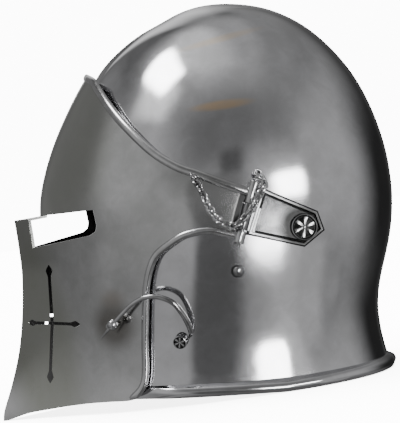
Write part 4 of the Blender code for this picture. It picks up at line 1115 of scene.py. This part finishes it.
class BARBUTA_OT_pivot_plates(bpy.types.Operator):
    """Cut the five-cornered pivot plates with a sunk panel and a hinge knuckle"""

    bl_idname = "barbuta.pivot_plates"
    bl_label = "Pivot plates"

    def execute(self, context):
        plate = self.plate()
        low, high = KNUCKLES
        tongue = prism("tongue", [hinge_at(low + 0.02, -1.5), hinge_at(low + 0.02, -9.0),
                                  hinge_at(high - 0.02, -9.0), hinge_at(high - 0.02, -1.5)],
                       PLATE_INNER + 0.3, PLATE_OUTER - 0.3)
        ends = [(HINGE_X, *hinge_at(s)) for s in (low + 0.010, high - 0.010)]
        knuckle = rod("knuckle", *ends, BARREL, 40, 0.35)
        carve(knuckle, "UNION", tongue)
        carve(knuckle, "DIFFERENCE", pin_bore())
        shank = rod("shank", (PLATE_INNER - 5, *PIVOT), (PLATE_OUTER + 5, *PIVOT), 3.3, 24, 0.0)
        carve(plate, "DIFFERENCE", shank)
        plate = joined("pivot_plate_l", plate, knuckle)
        pair(plate, "visor_group", "pivot_plate", ["plate_patina"], 30.0)
        return {"FINISHED"}

    def plate(self):
        deselect()
        bpy.ops.mesh.primitive_circle_add(vertices=5, radius=0.02, fill_type="NGON")
        plate = added("pivot_plate_l")
        order = sorted(plate.data.vertices, key=lambda v: math.atan2(v.co.y, v.co.x))
        corners = side_view(PLATE_CORNERS)
        cy = sum(y for y, _ in corners) / 5
        cz = sum(z for _, z in corners) / 5
        corners.sort(key=lambda c: math.atan2(c[1] - cz, c[0] - cy))
        for v, (y, z) in zip(order, corners):
            v.co = Vector((PLATE_INNER, y, z)) * MM
        outward(plate)
        if plate.data.polygons[0].normal.x < 0:
            plate.data.flip_normals()
        edit(plate, "FACE")
        bpy.ops.mesh.select_all(action="SELECT")
        bpy.ops.mesh.extrude_region_move(TRANSFORM_OT_translate={"value": (1.5 * MM, 0, 0)})
        for inset, rise in ((0.9, 0.7), (1.5, 0.0), (0.7, -0.6), (0.35, -0.1), (0.7, 0.5)):
            bpy.ops.mesh.inset(thickness=inset * MM, depth=0.0)
            bpy.ops.transform.translate(value=(rise * MM, 0, 0))
        done(plate)
        mesh = bmesh.new()
        mesh.from_mesh(plate.data)
        hole = [e for e in mesh.edges if e.is_boundary]
        if hole:
            bmesh.ops.holes_fill(mesh, edges=hole, sides=5)
        mesh.to_mesh(plate.data)
        mesh.free()
        outward(plate)
        return apply(plate, "BEVEL", width=0.22 * MM, segments=3, limit_method="ANGLE",
                     angle_limit=0.4)


def flower(name, radius, high, petals, axis, origin, shank, through, foot):
    """Rivet with a raised edge and narrow raised petals; its sunk bed and outer slope get painted
    shade.
    """
    face = [(0.08, 0.62), (0.66, 0.62), (0.72, 0.50), (0.77, 0.50), (0.83, 0.92), (0.88, 0.98),
            (0.94, 0.90), (0.99, 0.55), (1.0, 0.1), (0.99, 0.0)]
    profile = [(radius * out, high * rise) for out, rise in face]
    profile += [(shank, 0.0), (shank, -through), (foot, -through), (foot, -through - 1.3),
                (shank * 0.5, -through - 1.3)]
    coats = ["cut_rivet", "rivet_recess"]
    base = coated(turned(name, profile, axis, origin, 64), *coats)
    place = along(axis, origin)
    back = place.inverted()
    for face in base.data.polygons:
        c = back @ face.center / MM
        far = math.hypot(c.x, c.y) / radius
        # All but the crest of the raised edge gets the near-black finish: painted shade in the bed
        # and a painted shadow ring on the outer slope
        face.material_index = 0 if 0.86 < far < 0.97 and c.z > 0.5 * high else 1
    parts = [base]
    for k in range(petals):
        deselect()
        bpy.ops.mesh.primitive_cube_add(size=1.0)
        petal = added("petal")
        for v in petal.data.vertices:
            far = v.co.x > 0
            top = v.co.z > 0
            out = radius * (0.76 if far else 0.06)
            wide = radius * ((0.155 if far else 0.05) if top else (0.19 if far else 0.07))
            v.co = Vector((out, wide * (1 if v.co.y > 0 else -1),
                           high * ((0.92 if far else 0.88) if top else 0.5))) * MM
        apply(petal, "BEVEL", width=0.02 * radius * MM, segments=2, limit_method="ANGLE",
              angle_limit=0.5)
        turn = Matrix.Rotation(2 * math.pi * (k + 0.25) / petals, 4, "Z")
        parts.append(coated(put(petal, place @ turn), *coats))
    boss = turned("boss", [(radius * 0.04, high * 0.98), (radius * 0.10, high * 0.93),
                           (radius * 0.13, high * 0.80), (radius * 0.14, high * 0.5)],
                  axis, origin, 24)
    return joined(name, *parts, coated(boss, *coats))


class BARBUTA_OT_rivets(bpy.types.Operator):
    """Turn the pivot rosettes and the domed strap rivets"""

    bl_idname = "barbuta.rivets"
    bl_label = "Rosettes and rivets"

    def execute(self, context):
        radius = context.scene.barbuta_sizes.rosette / MM
        origin = (PLATE_OUTER + SEAT_GAP, *PIVOT)
        wall = bowl_half(*PIVOT) - SHEET
        reach = PLATE_OUTER + SEAT_GAP - wall + 2.6
        left = flower("rosette_l", radius, 3.2, 6, (1, 0, 0), origin, 3.0, reach, 4.3)
        pair(left, "helmet", "pivot_rosette")
        n = face_normal(bowl_half, *STRAP_RIVET)
        face = Vector((bowl_half(*STRAP_RIVET), *STRAP_RIVET))
        profile = [(STRAP_HEAD * math.sin(a) + 0.02, 0.6 * STRAP_HEAD * math.cos(a))
                   for a in np.linspace(0.12, 1.45, 9)]
        profile += [(STRAP_HEAD, 0.0), (1.5, 0.0), (1.5, -4.4), (2.6, -4.4), (2.6, -5.2),
                    (0.3, -5.2)]
        left = turned("strap_rivet_l", profile, n, face + n * 0.35, 40)
        pair(left, "helmet", "strap_rivet", ["hook_polish"])
        return {"FINISHED"}


class BARBUTA_OT_hook(bpy.types.Operator):
    """Forge the hook latch with its ball, rosette and catch"""

    bl_idname = "barbuta.hook"
    bl_label = "Hook latch"

    def execute(self, context):
        base, axis = hook_base(), hook_axis()
        rows = [(*over_hook_plane(y, z, h), r) for y, z, h, r in HOOK_ARM]
        line = spline(rows, 8)
        arm = bar("hook_arm", line[:, :3], line[:, 3], 16)
        eye = rod("eye", base + axis * 1.0, base + axis * 2.6, 4.2, 40, 0.3)
        centre = over_hook_plane(*HOOK_BALL)
        deselect()
        bpy.ops.mesh.primitive_uv_sphere_add(segments=40, ring_count=24, radius=BALL * MM)
        ball = put(added("ball"), along(axis, centre))
        edit(ball)
        pick(ball, "verts", lambda v: (v.co / MM - centre).dot(axis) > 3.2)
        bpy.ops.transform.resize(value=(0.97, 0.97, 0.97), center_override=tuple(centre * MM))
        done(ball)
        carve(eye, "UNION", arm)
        carve(eye, "UNION", ball)
        carve(eye, "DIFFERENCE", rod("shank", base - axis * 9, base + axis * 9, 2.0, 24, 0.0))
        hook = joined("hook_latch", eye)
        finished(hook, "hook_arm", "hook", ["hook_polish"], 50.0)
        seat = base + axis * 2.9
        head = flower("hook_flower", 4.8, 2.0, 6, axis, seat, 1.7, 2.9 + SHEET + 2.6, 3.0)
        finished(head, "helmet", "hook_rosette")
        y, z = HOOK_BALL[0] * LONG, HOOK_BALL[1] * HIGH
        foot = Vector((visor_half(y, z), y, z))
        top = (centre - foot).dot(axis) - BALL - SEAT_GAP
        profile = [(0.4, top), (1.8, top), (2.2, top - 0.15), (2.4, top - 0.6), (2.4, 1.0),
                   (1.3, 1.0), (1.3, -3.6), (2.2, -3.6), (2.2, -4.3), (0.3, -4.3)]
        catch = turned("catch", profile, axis, foot, 32)
        finished(catch, "visor_group", "hook_catch", ["cut_rivet"])
        return {"FINISHED"}


def wire_ring(name, radius, wire, normal, centre):
    """Round wire ring whose hole looks along a direction."""
    deselect()
    bpy.ops.mesh.primitive_torus_add(major_radius=(radius - wire) * MM, minor_radius=wire * MM,
                                     major_segments=32, minor_segments=12)
    return put(added(name), along(normal, centre))


def pin_eye():
    top = Vector((HINGE_X, *hinge_at(-0.03)))
    foot = Vector((HINGE_X, *hinge_at(1.035)))
    way = (top - foot).normalized()
    return top, foot, way, top + way * PIN_EYE


def staple_eye():
    n = face_normal(visor_half, *STAPLE)
    face = Vector((visor_half(*STAPLE), *STAPLE))
    return face, n, face + n * STAPLE_EYE


class BARBUTA_OT_hinge_pins(bpy.types.Operator):
    """Make the pull-out hinge pins with ring heads"""

    bl_idname = "barbuta.hinge_pins"
    bl_label = "Hinge pins"

    def execute(self, context):
        top, foot, way, eye = pin_eye()
        shaft = rod("pin", foot - way * 0.7, top + way * 2.1, PIN, 24, 0.15)
        cap = rod("cap", foot - way * 1.2, foot - way * 0.2, 2.0, 32, 0.3)
        wide = Vector((0.0, 1.0, -0.43))
        wide = (wide - way * wide.dot(way)).normalized()
        ring = wire_ring("ring", 2.9, 0.62, way.cross(wide), eye)
        collar = rod("collar", top - way * 0.6, top + way * 0.4, 1.9, 32, 0.3)
        pin = joined("hinge_pin_l", shaft, cap, ring, collar)
        pair(pin, "visor_group", "hinge_pin", ["pin_polish"])
        return {"FINISHED"}


class BARBUTA_OT_chains(bpy.types.Operator):
    """Hang the keeper chains from their staples to the pins"""

    bl_idname = "barbuta.chains"
    bl_label = "Keeper chains"

    def execute(self, context):
        sizes = context.scene.barbuta_sizes
        face, n, start = staple_eye()
        wide = Vector((0.0, 0.4, -0.92))
        wide = (wide - n * wide.dot(n)).normalized()
        ring = wire_ring("ring", 3.4, 0.72, n.cross(wide), start)
        profile = [(0.3, 1.6), (0.9, 1.5), (0.9, 0.25), (1.9, 0.2), (2.0, 0.0), (0.9, -0.05),
                   (0.9, -2.4), (2.0, -2.4), (2.0, -3.2), (0.3, -3.2)]
        shank = turned("shank", profile, n, face, 28)
        staple = joined("chain_staple_l", ring, shank)
        pair(staple, "visor_group", "chain_staple", ["link_steel"])
        chain = self.chain(start, pin_eye()[3], sizes.links, sizes.link_wire / MM)
        pair(chain, "visor_group", "chain", ["link_steel"])
        return {"FINISHED"}

    def chain(self, start, end, count, wire):
        line = [tuple(start)]
        for share_y, share_z, high in CHAIN_LINE:
            y, z = share_y * LONG, share_z * HIGH
            line.append((visor_half(min(y, 44.0), z) + high, y, z))
        fine = spline(line + [tuple(end)], 16)
        run = np.concatenate([[0.0], np.cumsum(np.linalg.norm(np.diff(fine, axis=0), axis=1))])
        marks = [Vector([np.interp(s, run, fine[:, c]) for c in range(3)])
                 for s in np.linspace(0.0, run[-1], count + 1)]
        pitch = run[-1] / count
        links = []
        out = Vector((1.0, -0.15, 0.0))
        for k in range(count):
            a, b = marks[k], marks[k + 1]
            way = (b - a).normalized()
            flat = way.cross(out).normalized()
            side = flat.cross(way).normalized()
            turn = (k % 2) * math.pi / 2 + math.pi / 4 + 0.25 * math.sin(7.0 * k)
            wide = flat * math.cos(turn) + side * math.sin(turn)
            links.append(self.link((a + b) / 2, way, wide, pitch, wire))
        return joined("keeper_chain_l", *links)

    def link(self, centre, way, wide, pitch, wire):
        stretch = pitch / 2 + 2 * wire - 0.02 - LINK_BROAD
        deselect()
        bpy.ops.mesh.primitive_torus_add(
            major_radius=(LINK_BROAD - wire) * MM, minor_radius=wire * MM, major_segments=18,
            minor_segments=10)
        link = added("link")
        edit(link)
        for side in (1.0, -1.0):
            pick(link, "verts", lambda v: v.co.x * side > 1e-5)
            bpy.ops.transform.translate(value=(side * stretch * MM, 0, 0))
        done(link)
        up = way.cross(wide)
        turn = Matrix((way, wide, up)).transposed().to_4x4()
        return put(link, Matrix.Translation(centre * MM) @ turn)


class BARBUTA_OT_stage(bpy.types.Operator):
    """Lay the pale floor, light the studio and set up the camera"""

    bl_idname = "barbuta.stage"
    bl_label = "Stage"

    def execute(self, context):
        self.floor(tuple(context.scene.barbuta_colours.floor))
        self.studio(context)
        self.lamps()
        self.camera(context)
        return {"FINISHED"}

    def floor(self, colour):
        deselect()
        bpy.ops.mesh.primitive_plane_add(size=FLOOR_SIZE)
        floor = added("floor")
        floor.visible_glossy = False
        material = bpy.data.materials.new("pale_floor")
        paint = Paint(material)
        grain = paint.noise(paint.place(), 60.0, 3.0, 0.5)
        tint = paint.blend(grain, tuple(c * 0.985 for c in colour), colour)
        shader = paint.wire("ShaderNodeBsdfPrincipled", {}, {
            "Base Color": tint, "Roughness": 0.85, "Specular IOR Level": 0.1,
            "Emission Color": (1.0, 1.0, 1.0, 1.0), "Emission Strength": FLOOR_GLOW})
        paint.node("ShaderNodeOutputMaterial", {}, {"Surface": shader})
        floor.data.materials.append(material)

    def studio(self, context):
        world = bpy.data.worlds.new("studio")
        context.scene.world = world
        paint = Paint(world)
        way = paint.wire("ShaderNodeTexCoord", {}, {}, "Generated")
        light = ROOM_LIGHT
        for azimuth, elevation, wide, high, soft, level in STUDIO:
            a, e = math.radians(azimuth), math.radians(elevation)
            ahead = Vector((math.cos(a) * math.cos(e), math.sin(a) * math.cos(e), math.sin(e)))
            side = Vector((-math.sin(a), math.cos(a), 0.0))
            up = ahead.cross(side)
            x, y, z = [paint.wire("ShaderNodeVectorMath", {"operation": "DOT_PRODUCT"},
                                  {0: way, 1: tuple(axis)}, "Value") for axis in (side, up, ahead)]
            across = x.maths("ARCTAN2", x, z).size() * (180 / math.pi / wide)
            upward = y.maths("ARCSINE", y, 0.0).size() * (180 / math.pi / high)
            if elevation == 90:
                far = (1.0 - z).most(0.0) ** 0.5 * (OVERHEAD_TURN / wide)
            else:
                far = (across ** 4.0 + upward ** 4.0) ** 0.25
            mask = paint.ramp(far, 1.0 + soft * 0.5, 1.0 - soft * 0.5)
            light = mask * level + (1.0 - mask) * light
        seen = paint.wire("ShaderNodeLightPath", {}, {}, "Is Camera Ray")
        light = seen * BACKDROP + (1.0 - seen) * light
        glow = paint.wire("ShaderNodeBackground", {}, {"Strength": light})
        paint.node("ShaderNodeOutputWorld", {}, {"Surface": glow})

    def lamps(self):
        deselect()
        bpy.ops.object.light_add(type="SUN", location=(0.2, -0.3, 1.9))
        lamp = added("overhead")
        lamp.data.angle = math.radians(SUN_SPREAD)
        lamp.data.energy = SUN_POWER
        lamp.visible_glossy = False

    def camera(self, context):
        deselect()
        bpy.ops.object.camera_add()
        camera = added("camera")
        eye = Vector(CAMERA_EYE)
        back = (eye - Vector(CAMERA_TARGET)).normalized()
        right = Vector(CAMERA_UP).cross(back).normalized()
        turn = Matrix((right, back.cross(right), back)).transposed().to_4x4()
        camera.matrix_world = Matrix.Translation(eye) @ turn
        camera.data.sensor_width = 36.0
        camera.data.sensor_fit = "HORIZONTAL"
        camera.data.lens = CAMERA_LENS
        camera.data.clip_start = 0.05
        camera.data.clip_end = 50.0
        context.scene.camera = camera


class BARBUTA_PT_panel(bpy.types.Panel):
    """The barbuta's pieces, one button each"""

    bl_idname = "BARBUTA_PT_panel"
    bl_label = "Barbuta"
    bl_space_type = "VIEW_3D"
    bl_region_type = "UI"
    bl_category = "Barbuta"

    def draw(self, context):
        column = self.layout.column()
        for group in (context.scene.barbuta_sizes, context.scene.barbuta_colours):
            for name in group.__annotations__:
                column.prop(group, name)
        for maker in MAKERS:
            column.operator(maker.bl_idname)


MAKERS = (BARBUTA_OT_bowl, BARBUTA_OT_visor, BARBUTA_OT_pivot_plates, BARBUTA_OT_rivets,
          BARBUTA_OT_hook, BARBUTA_OT_hinge_pins, BARBUTA_OT_chains, BARBUTA_OT_stage)
CLASSES = (BarbutaSizes, BarbutaColours) + MAKERS + (BARBUTA_PT_panel,)


def register():
    for cls in CLASSES:
        bpy.utils.register_class(cls)
    bpy.types.Scene.barbuta_sizes = PointerProperty(type=BarbutaSizes)
    bpy.types.Scene.barbuta_colours = PointerProperty(type=BarbutaColours)


def unregister():
    del bpy.types.Scene.barbuta_colours
    del bpy.types.Scene.barbuta_sizes
    for cls in reversed(CLASSES):
        bpy.utils.unregister_class(cls)


def main():
    register()
    for obj in bpy.data.objects:
        obj.select_set(False)
    bpy.ops.barbuta.bowl()
    bpy.ops.barbuta.visor()
    bpy.ops.barbuta.pivot_plates()
    bpy.ops.barbuta.rivets()
    bpy.ops.barbuta.hook()
    bpy.ops.barbuta.hinge_pins()
    bpy.ops.barbuta.chains()
    bpy.ops.barbuta.stage()
    deselect()


if __name__ == "__main__":
    main()
